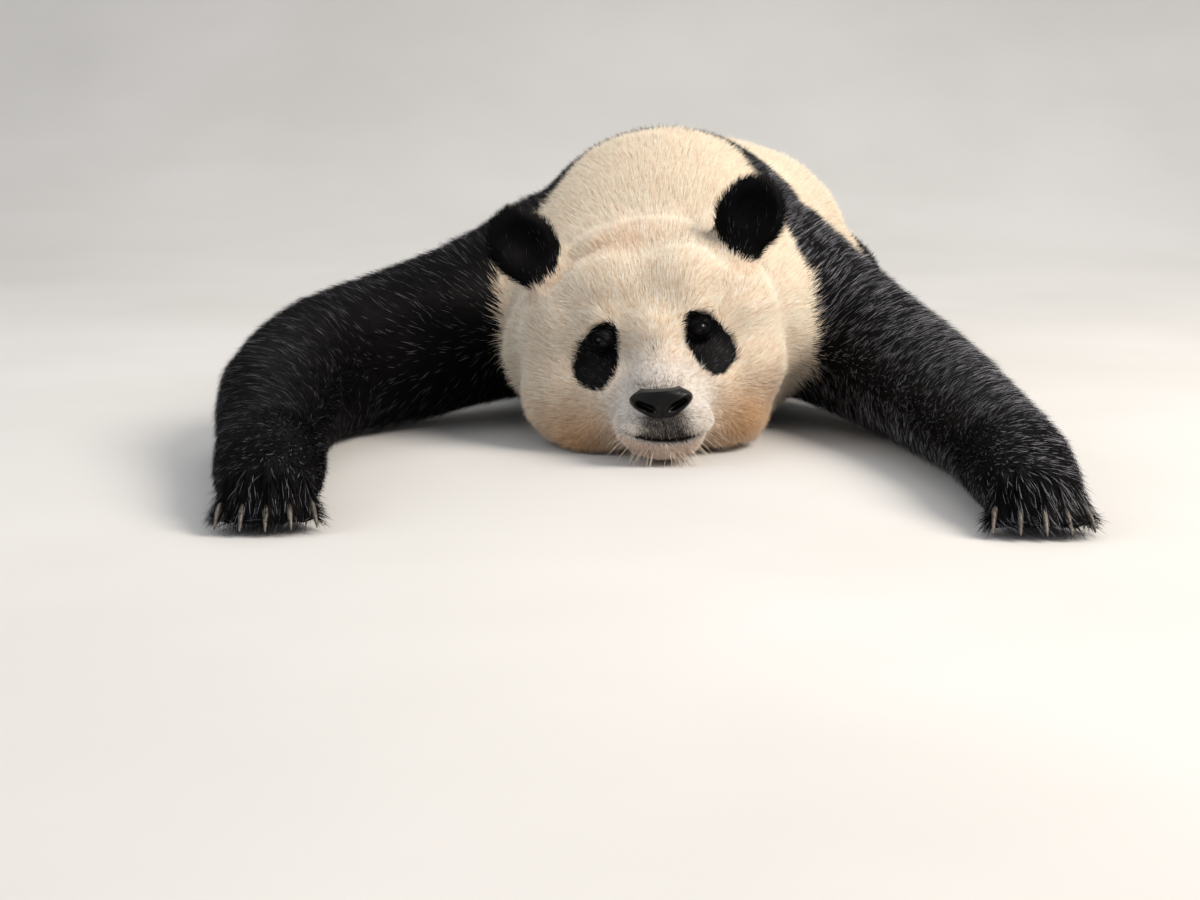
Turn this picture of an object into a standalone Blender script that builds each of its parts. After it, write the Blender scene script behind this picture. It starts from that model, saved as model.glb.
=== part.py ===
"""A giant panda lying flat on its belly: chin on the floor, forelegs laid out beside and in
front of the head, hind legs trailing. Metres, +Z up. The face looks towards -Y and the
panda's left side is at +X. The solids reach out to the tips of the coat.

The body is modelled whole, as overlapping masses that a voxel remesh makes one and a smoothing
rounds off. It is laid on the floor with flats, and parted into head, neck, trunk and limbs
with thin cuts. Eyes, nose pad and claws are pieces of their own, let into it.

While it is modelled the origin is on the floor under the nose tip. At the end all is moved so
that the origin is at the centre of the base of the bounding box.
"""

import math

import bmesh
import bpy
from mathutils import Euler, Matrix, Vector

# ---- driving dimensions ----------------------------------------------------------------
NOSE_HEIGHT = 0.070  # nose tip above the floor, with the jaw resting on it
HEAD_ROLL = math.radians(-7.5)  # the head lies over on its right cheek
HEAD_YAW = math.radians(2.0)
EYE_RADIUS = 0.0125
GAP = 0.0004  # clearance between neighbouring solids
VOXEL = 0.0055
SMOOTHING_STEPS = 6
SKIN_TRIANGLES = 4150  # the body's surface before it is parted
BODY_YAW = math.radians(-6.0)  # the rump lies to the panda's left of the head
PELVIS = Vector((0.085, 1.02, 0.0))

HEAD_FRAME = (
    Matrix.Translation((0, 0, NOSE_HEIGHT))
    @ Matrix.Rotation(HEAD_ROLL, 4, "Y")
    @ Matrix.Rotation(HEAD_YAW, 4, "Z")
)
FLOOR_FRAME = Matrix.Identity(4)
PELVIS_FRAME = Matrix.Translation(PELVIS) @ Matrix.Rotation(BODY_YAW, 4, "Z")
UP = Vector((0, 0, 1))
SIDES = {"left": 1, "right": -1}

# Head masses, from the nose tip: (centre, radii). Where the centre is off the middle plane,
# the mass is on both sides.
HEAD_MASSES = {
    "skull": ((0, 0.200, 0.036), (0.150, 0.108, 0.128)),
    "forehead": ((0.030, 0.165, 0.095), (0.080, 0.062, 0.060)),
    "crown": ((0.010, 0.224, 0.114), (0.098, 0.068, 0.070)),
    "temple": ((0.078, 0.190, 0.066), (0.072, 0.080, 0.070)),
    "cheek": ((0.078, 0.172, 0.000), (0.078, 0.078, 0.076)),
    "jowl": ((0.066, 0.165, -0.036), (0.072, 0.080, 0.050)),
    "ruff": ((0.084, 0.236, 0.042), (0.088, 0.050, 0.092)),
    "brow": ((0.043, 0.124, 0.070), (0.040, 0.034, 0.030)),
    "between_eyes": ((0, 0.112, 0.050), (0.040, 0.042, 0.050)),
    "bridge": ((0, 0.074, 0.010), (0.037, 0.060, 0.034)),
    "snout_root": ((0.034, 0.112, -0.006), (0.058, 0.052, 0.056)),
    "muzzle": ((0, 0.066, -0.016), (0.054, 0.060, 0.040)),
    "lip": ((0.022, 0.037, -0.025), (0.033, 0.031, 0.024)),
    "chin": ((0, 0.056, -0.046), (0.041, 0.046, 0.025)),
}
EAR_CENTRE = Vector((0.1275, 0.190, 0.170))
EAR_RADII = Vector((0.0445, 0.0205, 0.0525))
EAR_BASE = Vector((0.106, 0.196, 0.142))
EAR_TILT = math.radians(34)  # outwards from upright
EAR_TURN = Euler((math.radians(-8), EAR_TILT, math.radians(-14)))
EAR_BASE_SIZE = 0.62  # the ear's root, as a share of the ear
EAR_SCOOP = {"forward": 0.024, "lift": 0.002, "radii": (0.028, 0.020, 0.034)}
EYE_CENTRE = Vector((0.0515, 0.1060, 0.0615))
NOSE_RADII = Vector((0.0325, 0.017, 0.0160))
NOSE_WRAP = 0.005  # how far its wings lie behind its middle
NOSE_SHOULDER = 0.3  # the height of its widest place, from -1 to 1
NOSE_NARROWING = {"top": 0.25, "lip": 0.70}
NOSTRIL = {"centre": (0.0155, 0.005, -0.0030), "radii": (0.0088, 0.010, 0.0034)}
NOSTRIL_TURN = Euler((0, math.radians(-24), math.radians(28)))
NOSTRIL_DETAIL = 0.05  # the share of its triangles that a nostril keeps
NARROWEST = 0.3  # the least width of the sphere that the nose pad is made from
EYE_FUNNEL = {"middle": 1.55, "depth": 1.9, "inner": 0.60, "outer": 1.25}  # in eye radii

# Runs of mass along a line: (x, y, z, half width, half height). The trunk is in the floor's
# frame, and a limb is given for the side where +x is outwards.
BACK_LINE = [
    (0.000, 0.250, 0.117, 0.165, 0.132),
    (0.000, 0.310, 0.120, 0.190, 0.148),
    (0.000, 0.370, 0.138, 0.186, 0.167),
    (0.002, 0.440, 0.152, 0.184, 0.182),
    (0.005, 0.510, 0.158, 0.186, 0.189),
    (0.012, 0.600, 0.158, 0.195, 0.178),
    (0.024, 0.710, 0.156, 0.200, 0.168),
    (0.040, 0.850, 0.153, 0.208, 0.164),
    (0.058, 0.980, 0.153, 0.212, 0.163),
    (0.074, 1.080, 0.149, 0.200, 0.159),
    (0.085, 1.160, 0.140, 0.164, 0.141),
    (0.090, 1.200, 0.132, 0.120, 0.114),
]
BELLY_LINE = [
    (0.008, 0.470, 0.085, 0.175, 0.090),
    (0.016, 0.600, 0.098, 0.230, 0.106),
    (0.030, 0.760, 0.102, 0.258, 0.112),
    (0.046, 0.920, 0.102, 0.262, 0.112),
    (0.066, 1.040, 0.098, 0.226, 0.108),
]
BACK_DEPTH = 0.085  # half length along the trunk of each mass in the line
BELLY_DEPTH = 0.150
FORELEG_LINES = {
    "right": [
        (0.120, 0.460, 0.145, 0.112, 0.130),
        (0.215, 0.370, 0.118, 0.102, 0.104),
        (0.305, 0.295, 0.095, 0.089, 0.096),
        (0.380, 0.210, 0.080, 0.080, 0.088),
        (0.408, 0.100, 0.068, 0.076, 0.074),
        (0.401, -0.030, 0.058, 0.066, 0.064),
        (0.387, -0.148, 0.049, 0.057, 0.053),
        (0.376, -0.230, 0.043, 0.057, 0.046),
        (0.369, -0.290, 0.034, 0.052, 0.036),
    ],
    "left": [
        (0.125, 0.460, 0.142, 0.112, 0.125),
        (0.202, 0.362, 0.106, 0.099, 0.094),
        (0.260, 0.257, 0.080, 0.087, 0.079),
        (0.298, 0.135, 0.064, 0.078, 0.067),
        (0.320, 0.000, 0.055, 0.067, 0.058),
        (0.334, -0.125, 0.050, 0.058, 0.054),
        (0.340, -0.222, 0.044, 0.057, 0.047),
        (0.343, -0.292, 0.034, 0.052, 0.036),
    ],
}
HINDLEG_LINE = [
    (0.108, 0.030, 0.112, 0.100, 0.100),
    (0.138, 0.120, 0.092, 0.092, 0.090),
    (0.158, 0.212, 0.074, 0.081, 0.079),
    (0.168, 0.305, 0.060, 0.068, 0.064),
    (0.177, 0.390, 0.051, 0.061, 0.054),
    (0.187, 0.455, 0.044, 0.058, 0.046),
    (0.198, 0.510, 0.035, 0.053, 0.037),
]
TAIL_CENTRE = Vector((0, 0.262, 0.142))
TAIL_RADII = (0.050, 0.032, 0.068)
TAIL_TURN = Euler((math.radians(18), 0, 0))
FORE_TOE = {"reach": 0.050, "spread": 0.0205, "radius": 0.0180, "bow": 0.013}
HIND_TOE = {"reach": 0.046, "spread": 0.0195, "radius": 0.0170, "bow": 0.011}
TOES = 5
TOE_FAN = math.radians(7)  # from each toe to the next
TOE_SHAPE = {"width": 0.84, "length": 1.7, "setback": 0.68, "sink": 0.001}  # sink in metres
CLAW = {"length": 0.031, "root": 0.0062, "tip": 0.0010, "rise": 0.008, "rings": 4, "sides": 5}
CLAW_WIDTH = 0.68  # as a share of its height
CLAW_BEND = {"root": math.radians(6), "tip": math.radians(54)}

# Where the body is parted. A lean is back from upright, and a turn is inwards going back.
EAR_CUT = {"lift": 0.006, "tilt": math.radians(44), "size": (0.14, 0.085, 0.13)}
NAPE = {"y": 0.238, "lean": math.radians(12)}
WITHERS = {"y": 0.300, "lean": math.radians(30)}
NECK_SIDE = {"left": Vector((0.171, 0.300, 0.125)), "right": Vector((0.187, 0.300, 0.125))}
NECK_TURN = math.radians(27)
THROAT = {"turn": math.radians(12), "lean": math.radians(18)}  # below the neck's side cut
BAND_END = 0.600  # the black shoulder band's rear edge
SHOULDER_OUT = 0.120
CUT_HEIGHT = 0.2
CUT_REACH = 0.8
CUT_SPAN = 1.2  # wider and higher than any part that it cuts
CUT_SIZE = (CUT_REACH, CUT_SPAN, CUT_SPAN)
FLOOR_BLOCK = (1.0, 5.0, 5.0)
HIP = {"point": Vector((0.130, 0.170, CUT_HEIGHT)), "turn": math.radians(30)}
TAIL_CUT = {"inset": 0.014, "size": (0.12, 0.13, 0.19)}
WRIST_FROM_TIP = 0.115
ANKLE_FROM_TIP = 0.110

# ---- materials -------------------------------------------------------------------------
COLOURS = {
    "cream_fur": ((0.78, 0.66, 0.52), 0.85),
    "black_fur": ((0.015, 0.014, 0.016), 0.6),
    "nose_skin": ((0.012, 0.011, 0.011), 0.35),
    "eye": ((0.018, 0.010, 0.007), 0.08),
    "claw": ((0.46, 0.38, 0.29), 0.4),
}


def make_materials():
    made = {}
    for name, (colour, roughness) in COLOURS.items():
        material = bpy.data.materials.new(name)
        material.use_nodes = True
        shader = material.node_tree.nodes["Principled BSDF"]
        shader.inputs["Base Color"].default_value = (*colour, 1)
        shader.inputs["Roughness"].default_value = roughness
        shader.inputs["Metallic"].default_value = 0.0
        made[name] = material
    return made


# ---- modelling helpers -----------------------------------------------------------------
def new_object(name, mesh):
    obj = bpy.data.objects.new(name, mesh)
    bpy.context.scene.collection.objects.link(obj)
    return obj


def object_from(name, bm):
    mesh = bpy.data.meshes.new(name)
    bm.to_mesh(mesh)
    bm.free()
    return new_object(name, mesh)


def evaluated(obj):
    """Gives the object the mesh that its modifiers make, and takes the modifiers off."""
    bpy.context.view_layer.update()
    graph = bpy.context.evaluated_depsgraph_get()
    mesh = bpy.data.meshes.new_from_object(obj.evaluated_get(graph))
    obj.modifiers.clear()
    obj.data = mesh
    return obj


def boolean(obj, other, operation):
    modifier = obj.modifiers.new(operation.title(), "BOOLEAN")
    modifier.operation = operation
    modifier.solver = "EXACT"
    modifier.object = other
    return evaluated(obj)


def copy_of(obj, name):
    twin = new_object(name, obj.data.copy())
    twin.matrix_world = obj.matrix_world
    return twin


def remove(*objects):
    for obj in objects:
        bpy.data.objects.remove(obj)


def on_side(side, point):
    """A point given for the left side, on the side asked for."""
    return Vector((side * point[0], point[1], point[2]))


def add_mass(bm, centre, radii, frame=FLOOR_FRAME, turn=Euler((0, 0, 0))):
    """An ellipsoid in the frame given, turned about its own centre."""
    place = frame @ Matrix.Translation(centre) @ turn.to_matrix().to_4x4() @ Matrix.Diagonal((*radii, 1))
    bmesh.ops.create_icosphere(bm, subdivisions=4, radius=1, matrix=place)


def along(stations, count):
    """Points on a smooth curve through the stations, by Catmull-Rom."""
    padded = [stations[0], *stations, stations[-1]]
    for step in range(count + 1):
        where = step / count * (len(stations) - 1)
        first = min(int(where), len(stations) - 2)
        t = where - first
        a, b, c, d = padded[first : first + 4]
        yield tuple(
            0.5 * (2 * q + (r - p) * t + (2 * p - 5 * q + 4 * r - s) * t**2 + (3 * q - p - 3 * r + s) * t**3)
            for p, q, r, s in zip(a, b, c, d)
        )


def add_run(bm, stations, frame=FLOOR_FRAME, side=1, depth=None, per_station=5):
    """A run of ellipsoids along the stations. They are as deep along +Y as wide, if no depth is given."""
    for x, y, z, half_width, half_height in along(stations, per_station * (len(stations) - 1)):
        add_mass(bm, (side * x, y, z), (half_width, depth or half_width, half_height), frame)


def heading_of(stations):
    """The unit direction in which a limb's line ends, level with the floor."""
    last, before = Vector(stations[-1][:3]), Vector(stations[-3][:3])
    direction = last - before
    direction.z = 0
    return direction.normalized()


def toe_frames(stations, toe, side):
    """The place of each toe: +Y points out of the toe, +X across the foot, +Z up."""
    forward = heading_of(stations)
    forward.x *= side
    across = Vector((forward.y, -forward.x, 0))
    root = Vector(stations[-1][:3])
    root.x *= side
    for number in range(TOES):
        step = number - (TOES - 1) / 2
        turn = -TOE_FAN * step
        offset = across * step * toe["spread"] + forward * (toe["reach"] - toe["bow"] * (step / 2) ** 2)
        centre = Vector((root.x + offset.x, root.y + offset.y, toe["radius"] - TOE_SHAPE["sink"]))
        basis = Matrix((across, forward, Vector((0, 0, 1)))).transposed().to_4x4()
        yield Matrix.Translation(centre) @ basis @ Matrix.Rotation(turn, 4, "Z")


# ---- the body in one piece -------------------------------------------------------------
def ear_turn(side):
    return Euler((EAR_TURN.x, side * EAR_TURN.y, side * EAR_TURN.z))


def add_head(bm):
    for centre, radii in HEAD_MASSES.values():
        for side in (1, -1) if centre[0] else (1,):
            add_mass(bm, on_side(side, centre), radii, HEAD_FRAME)
    for side in (1, -1):
        centre, base = on_side(side, EAR_CENTRE), on_side(side, EAR_BASE)
        add_mass(bm, centre, EAR_RADII, HEAD_FRAME, ear_turn(side))
        add_mass(bm, base, EAR_RADII * EAR_BASE_SIZE, HEAD_FRAME, ear_turn(side))


def add_foot(bm, stations, toe, side, frame):
    for place in toe_frames(stations, toe, side):
        radius = toe["radius"]
        radii = (radius * TOE_SHAPE["width"], radius * TOE_SHAPE["length"], radius)
        add_mass(bm, (0, -radius * TOE_SHAPE["setback"], 0), radii, frame @ place)


def add_tail(bm):
    add_mass(bm, TAIL_CENTRE, TAIL_RADII, PELVIS_FRAME, TAIL_TURN)


def whole_body():
    bm = bmesh.new()
    add_head(bm)
    add_run(bm, BACK_LINE, depth=BACK_DEPTH)
    add_run(bm, BELLY_LINE, depth=BELLY_DEPTH)
    add_tail(bm)
    for name, side in SIDES.items():
        add_run(bm, FORELEG_LINES[name], side=side)
        add_foot(bm, FORELEG_LINES[name], FORE_TOE, side, FLOOR_FRAME)
        add_run(bm, HINDLEG_LINE, PELVIS_FRAME, side)
        add_foot(bm, HINDLEG_LINE, HIND_TOE, side, PELVIS_FRAME)
    body = object_from("body", bm)
    remesh = body.modifiers.new("Remesh", "REMESH")
    remesh.mode = "VOXEL"
    remesh.voxel_size = VOXEL
    evaluated(body)
    hollow_ears(body)
    smooth = body.modifiers.new("Smooth", "SMOOTH")
    smooth.iterations = SMOOTHING_STEPS
    evaluated(body)
    decimate = body.modifiers.new("Decimate", "DECIMATE")
    decimate.ratio = SKIN_TRIANGLES / (2 * len(body.data.polygons))
    evaluated(body)
    return lay_on_floor(body)


def hollow_ears(body):
    """Scoops out the front of each ear."""
    bm = bmesh.new()
    for side in (1, -1):
        centre = EAR_CENTRE + Vector((0, -EAR_SCOOP["forward"], EAR_SCOOP["lift"]))
        add_mass(bm, on_side(side, centre), EAR_SCOOP["radii"], HEAD_FRAME, ear_turn(side))
    scoops = object_from("ear_scoops", bm)
    boolean(body, scoops, "DIFFERENCE")
    remove(scoops)


def block(face, outwards, size, frame=FLOOR_FRAME, grow=0.0):
    """A box that reaches out from the middle of its near face: size is its reach, width and height."""
    outwards = Vector(outwards).normalized()
    up = UP if abs(outwards.z) < 0.9 else Vector((0, 1, 0))
    across = up.cross(outwards).normalized()
    basis = Matrix((outwards, across, outwards.cross(across))).transposed().to_4x4()
    place = frame @ Matrix.Translation(Vector(face) + outwards * size[0] / 2) @ basis
    lengths = (length + 2 * grow for length in size)
    bm = bmesh.new()
    bmesh.ops.create_cube(bm, size=1, matrix=place @ Matrix.Diagonal((*lengths, 1)))
    return object_from("block", bm)


def lay_on_floor(body):
    """Cuts off what would sink into the floor, which leaves the flats that the body rests on."""
    floor = block((0, 0, 0), -UP, FLOOR_BLOCK)
    boolean(body, floor, "DIFFERENCE")
    remove(floor)
    return body


# ---- parting ---------------------------------------------------------------------------
def keep_largest(obj):
    """Drops the slivers that a cut leaves beside the main body."""
    bm = bmesh.new()
    bm.from_mesh(obj.data)
    unseen = set(bm.verts)
    bodies = []
    while unseen:
        body = set()
        edge = {unseen.pop()}
        while edge:
            body |= edge
            edge = {e.other_vert(v) for v in edge for e in v.link_edges} - body
        unseen -= body
        bodies.append(body)
    bodies.sort(key=len)
    bmesh.ops.delete(bm, geom=[v for body in bodies[:-1] for v in body], context="VERTS")
    bm.to_mesh(obj.data)
    bm.free()
    return obj


def common_block(blocks, frame, grow=0.0):
    first, *others = (block(*shape, frame, grow) for shape in blocks)
    for other in others:
        boolean(first, other, "INTERSECT")
        remove(other)
    return first


def part_off(rest, name, *blocks, frame=FLOOR_FRAME):
    """Takes what lies in all the blocks off as a solid of its own, GAP away from the rest."""
    inside = common_block(blocks, frame)
    around = common_block(blocks, frame, GAP)
    piece = keep_largest(boolean(copy_of(rest, name), inside, "INTERSECT"))
    keep_largest(boolean(rest, around, "DIFFERENCE"))
    remove(inside, around)
    return piece


def lean_back(angle):
    """The direction forwards and down, square to a cut that leans back by the angle."""
    return Vector((0, -math.cos(angle), math.sin(angle)))


def turned_out(side, turn, lean=0.0):
    """The direction outwards, square to a cut that turns inwards going back and down."""
    level = math.cos(lean)
    return Vector((side * math.cos(turn) * level, math.sin(turn) * level, -math.sin(lean)))


def part_paw(leg, name, side, stations, from_tip, frame):
    heading = on_side(side, heading_of(stations))
    face = on_side(side, stations[-1]) - heading * from_tip
    return part_off(leg, name, (face, heading, CUT_SIZE), frame=frame)


def part_body(body):
    pieces = {}
    for name, side in SIDES.items():
        outwards = Vector((side * math.sin(EAR_CUT["tilt"]), 0, math.cos(EAR_CUT["tilt"])))
        base = Vector((side * EAR_BASE.x, EAR_CENTRE.y, EAR_BASE.z)) + outwards * EAR_CUT["lift"]
        shape = (base, outwards, EAR_CUT["size"])
        pieces[f"ear_{name}"] = part_off(body, f"ear_{name}", shape, frame=HEAD_FRAME)
    left, right = NECK_SIDE["left"].x, NECK_SIDE["right"].x
    middle, size = (left - right) / 2, (CUT_REACH, left + right, CUT_SPAN)
    shape = ((middle, NAPE["y"], 0), lean_back(NAPE["lean"]), size)
    pieces["head"] = part_off(body, "head", shape)
    shapes = [((middle, WITHERS["y"], 0), lean_back(WITHERS["lean"]), size)]
    for name, side in SIDES.items():
        for outwards in (turned_out(side, NECK_TURN), turned_out(side, THROAT["turn"], THROAT["lean"])):
            shapes.append((on_side(side, NECK_SIDE[name]), -outwards, CUT_SIZE))
    pieces["neck"] = part_off(body, "neck", *shapes)
    for name, side in SIDES.items():
        face = Vector((side * SHOULDER_OUT, BAND_END - CUT_SPAN / 2, CUT_HEIGHT))
        shape = (face, (side, 0, 0), CUT_SIZE)
        leg = part_off(body, f"foreleg_{name}", shape)
        pieces[leg.name] = leg
        foot = f"forepaw_{name}"
        pieces[foot] = part_paw(leg, foot, side, FORELEG_LINES[name], WRIST_FROM_TIP, FLOOR_FRAME)
        shape = (on_side(side, HIP["point"]), turned_out(side, HIP["turn"]), CUT_SIZE)
        leg = part_off(body, f"hindleg_{name}", shape, frame=PELVIS_FRAME)
        pieces[leg.name] = leg
        foot = f"hindfoot_{name}"
        pieces[foot] = part_paw(leg, foot, side, HINDLEG_LINE, ANKLE_FROM_TIP, PELVIS_FRAME)
    backwards = Vector((0, math.cos(TAIL_TURN.x), math.sin(TAIL_TURN.x)))
    shape = (TAIL_CENTRE - backwards * TAIL_CUT["inset"], backwards, TAIL_CUT["size"])
    pieces["tail"] = part_off(body, "tail", shape, frame=PELVIS_FRAME)
    shape = ((0, BAND_END, CUT_HEIGHT), (0, -1, 0), CUT_SIZE)
    pieces["shoulders"] = part_off(body, "shoulders", shape)
    body.name = "trunk"
    pieces["trunk"] = body
    return pieces


# ---- eyes, nose pad and claws ----------------------------------------------------------
def eyeball(name, side, grow=0.0):
    bm = bmesh.new()
    centre = on_side(side, EYE_CENTRE)
    place = HEAD_FRAME @ Matrix.Translation(centre)
    bmesh.ops.create_uvsphere(bm, u_segments=12, v_segments=6, radius=EYE_RADIUS + grow, matrix=place)
    return object_from(name, bm)


def eye_opening(side):
    """The narrow funnel between the lids, down to the eyeball."""
    bm = bmesh.new()
    centre = on_side(side, EYE_CENTRE)
    gaze = Matrix.Rotation(math.radians(90), 4, "X")
    centre.y -= EYE_RADIUS * EYE_FUNNEL["middle"]
    place = HEAD_FRAME @ Matrix.Translation(centre) @ gaze
    bmesh.ops.create_cone(
        bm,
        cap_ends=True,
        segments=12,
        radius1=EYE_RADIUS * EYE_FUNNEL["inner"],
        radius2=EYE_RADIUS * EYE_FUNNEL["outer"],
        depth=EYE_RADIUS * EYE_FUNNEL["depth"],
        matrix=place,
    )
    return object_from("eye_opening", bm)


def nose_outline(height):
    """Half the pad's width at a height from -1 to 1, as a share of its widest."""
    above = max(0.0, (height - NOSE_SHOULDER) / (1 - NOSE_SHOULDER))
    below = max(0.0, (NOSE_SHOULDER - height) / (1 + NOSE_SHOULDER))
    return 1 - NOSE_NARROWING["top"] * above**2 - NOSE_NARROWING["lip"] * below**2


def nose_pad(name, grow=0.0):
    """A broad pad, widest near the top and narrowing to the lip, with two slanting nostrils."""
    bm = bmesh.new()
    bmesh.ops.create_uvsphere(bm, u_segments=14, v_segments=8, radius=1)
    for vertex in bm.verts:
        height = vertex.co.z
        widen = nose_outline(height) / max(NARROWEST, math.sqrt(max(0.0, 1 - height**2)))
        vertex.co.x *= (NOSE_RADII.x + grow) * widen
        vertex.co.y *= NOSE_RADII.y + grow
        vertex.co.z *= NOSE_RADII.z + grow
        vertex.co.y += NOSE_WRAP * (vertex.co.x / NOSE_RADII.x) ** 2
    bm.transform(HEAD_FRAME @ Matrix.Translation((0, NOSE_RADII.y, 0.001)))
    pad = object_from(name, bm)
    if grow:
        return pad
    bm = bmesh.new()
    for side in (1, -1):
        turn = Euler((0, side * NOSTRIL_TURN.y, side * NOSTRIL_TURN.z))
        add_mass(bm, on_side(side, NOSTRIL["centre"]), NOSTRIL["radii"], HEAD_FRAME, turn)
    nostrils = object_from("nostrils", bm)
    decimate = nostrils.modifiers.new("Decimate", "DECIMATE")
    decimate.ratio = NOSTRIL_DETAIL
    evaluated(nostrils)
    boolean(pad, nostrils, "DIFFERENCE")
    remove(nostrils)
    return pad


def claw(name, place, up, grow=0.0):
    """A curved, tapering claw on a toe. Up is 1 for a foot on its sole and -1 for one on its back."""
    bm = bmesh.new()
    rings = []
    position = Vector((0, 0, up * CLAW["rise"]))
    step = CLAW["length"] / (CLAW["rings"] - 1)
    for number in range(CLAW["rings"]):
        share = number / (CLAW["rings"] - 1)
        angle = -up * (CLAW_BEND["root"] + (CLAW_BEND["tip"] - CLAW_BEND["root"]) * share)
        if number:
            position = position + Vector((0, math.cos(angle), math.sin(angle))) * step
        radius = CLAW["root"] + (CLAW["tip"] - CLAW["root"]) * share**1.2 + grow
        frame = Matrix.Translation(position) @ Matrix.Rotation(angle, 4, "X")
        ring = []
        for side in range(CLAW["sides"]):
            turn = 2 * math.pi * side / CLAW["sides"]
            offset = Vector((CLAW_WIDTH * radius * math.cos(turn), 0, radius * math.sin(turn)))
            ring.append(bm.verts.new(frame @ offset))
        rings.append(ring)
    for near, far in zip(rings, rings[1:]):
        for side in range(CLAW["sides"]):
            after = (side + 1) % CLAW["sides"]
            bm.faces.new((near[side], near[after], far[after], far[side]))
    bm.faces.new(rings[0])
    bm.faces.new(reversed(rings[-1]))
    bmesh.ops.recalc_face_normals(bm, faces=bm.faces)
    bm.transform(place)
    return object_from(name, bm)


def let_in(piece, hole):
    keep_largest(boolean(piece, hole, "DIFFERENCE"))
    remove(hole)


def add_face(pieces):
    for name, side in SIDES.items():
        let_in(pieces["head"], eyeball("hole", side, GAP))
        let_in(pieces["head"], eye_opening(side))
        pieces[f"eye_{name}"] = eyeball(f"eye_{name}", side)
    let_in(pieces["head"], nose_pad("hole", 2 * GAP))
    pieces["nose"] = nose_pad("nose")


def add_claws(pieces):
    limbs = [
        ("forepaw", FORELEG_LINES, FORE_TOE, FLOOR_FRAME, 1),
        ("hindfoot", dict.fromkeys(SIDES, HINDLEG_LINE), HIND_TOE, PELVIS_FRAME, -1),
    ]
    for foot, lines, toe, frame, up in limbs:
        for name, side in SIDES.items():
            for number, place in enumerate(toe_frames(lines[name], toe, side), 1):
                let_in(pieces[f"{foot}_{name}"], claw("hole", frame @ place, up, GAP))
                title = f"claw_{foot}_{name}_{number}"
                pieces[title] = claw(title, frame @ place, up)


# ---- the model -------------------------------------------------------------------------
def material_for(name):
    if name.startswith("claw"):
        return "claw"
    if name.startswith(("ear", "fore", "hind", "shoulders")):
        return "black_fur"
    if name.startswith("eye"):
        return "eye"
    return "nose_skin" if name == "nose" else "cream_fur"


def centre_on_base(pieces):
    corners = [obj.matrix_world @ v.co for obj in pieces.values() for v in obj.data.vertices]
    low = Vector(min(c[axis] for c in corners) for axis in range(3))
    high = Vector(max(c[axis] for c in corners) for axis in range(3))
    shift = Matrix.Translation((-(low.x + high.x) / 2, -(low.y + high.y) / 2, 0))
    for obj in pieces.values():
        obj.data.transform(shift)


def main():
    for obj in list(bpy.data.objects):
        bpy.data.objects.remove(obj)
    materials = make_materials()
    pieces = part_body(whole_body())
    add_face(pieces)
    add_claws(pieces)
    centre_on_base(pieces)
    for name, obj in pieces.items():
        obj.data.materials.clear()
        obj.data.materials.append(materials[material_for(name)])


main()
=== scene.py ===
"""Dresses the giant panda: one soft skin, a coat of mesh tufts, nose, eyes, claws and whiskers.

The head has axes of its own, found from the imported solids: their origin is the nose tip, +x
runs towards the panda's left, +y back into the head and +z up through the crown.
"""

import heapq
import math

import bmesh
import bpy
import numpy as np
from mathutils import Matrix, Vector, noise
from mathutils.bvhtree import BVHTree
from mathutils.kdtree import KDTree


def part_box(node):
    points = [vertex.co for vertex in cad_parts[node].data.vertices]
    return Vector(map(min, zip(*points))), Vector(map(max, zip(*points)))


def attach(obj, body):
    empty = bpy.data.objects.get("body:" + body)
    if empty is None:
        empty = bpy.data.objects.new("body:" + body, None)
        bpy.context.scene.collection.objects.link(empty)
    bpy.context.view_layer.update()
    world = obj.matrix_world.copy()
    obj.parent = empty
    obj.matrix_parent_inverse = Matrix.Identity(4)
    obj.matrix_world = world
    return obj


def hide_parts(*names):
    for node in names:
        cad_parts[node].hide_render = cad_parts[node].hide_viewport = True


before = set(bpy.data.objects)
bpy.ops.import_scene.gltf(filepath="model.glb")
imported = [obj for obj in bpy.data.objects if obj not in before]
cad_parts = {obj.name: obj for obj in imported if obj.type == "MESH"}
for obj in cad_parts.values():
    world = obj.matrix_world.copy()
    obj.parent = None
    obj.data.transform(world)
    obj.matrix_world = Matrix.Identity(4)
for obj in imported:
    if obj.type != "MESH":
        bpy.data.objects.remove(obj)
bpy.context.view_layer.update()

SIDES = {"left": 1, "right": -1}
LIMBS = ("ear", "foreleg", "forepaw", "hindleg", "hindfoot")
TORSO = ["head", "neck", "shoulders", "trunk", "tail"]
FLESH = TORSO + [f"{limb}_{side}" for limb in LIMBS for side in SIDES]
BLACK = {"shoulders", *LIMBS}
SEED = 11

# The eyes' height and depth, measured from the nose tip along the head's own axes.
EYE_ABOVE = 0.0615
EYE_BEHIND = 0.1060

SKIN_VOXEL = 0.0080  # the size of the skin's faces before it is made finer
GAP_CLOSER = 0.0005  # how far the solids swell, to close the cuts between them
FLOOR_GAP = 0.0030  # the lowest that the skin comes to the floor
TIP_GAP, WHISKER_GAP = 0.0008, 0.0010  # and the tufts and the whiskers

# Boxes of the head's frame in which the skin is finer, each inside the one before: how far back
# they go, their half width, their floor and their top.
FINER = [(0.26, 0.20, -0.10, 0.26), (0.135, 0.105, -0.085, 0.125)]
FINEST = (0.090, 0.062, -0.066, 0.020)
EYE_FINEST = 0.027
COAT_TRIANGLES = 1480000  # the most that the whole coat may have, and each of its pieces
PIECE_TRIANGLES = 190000

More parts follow.
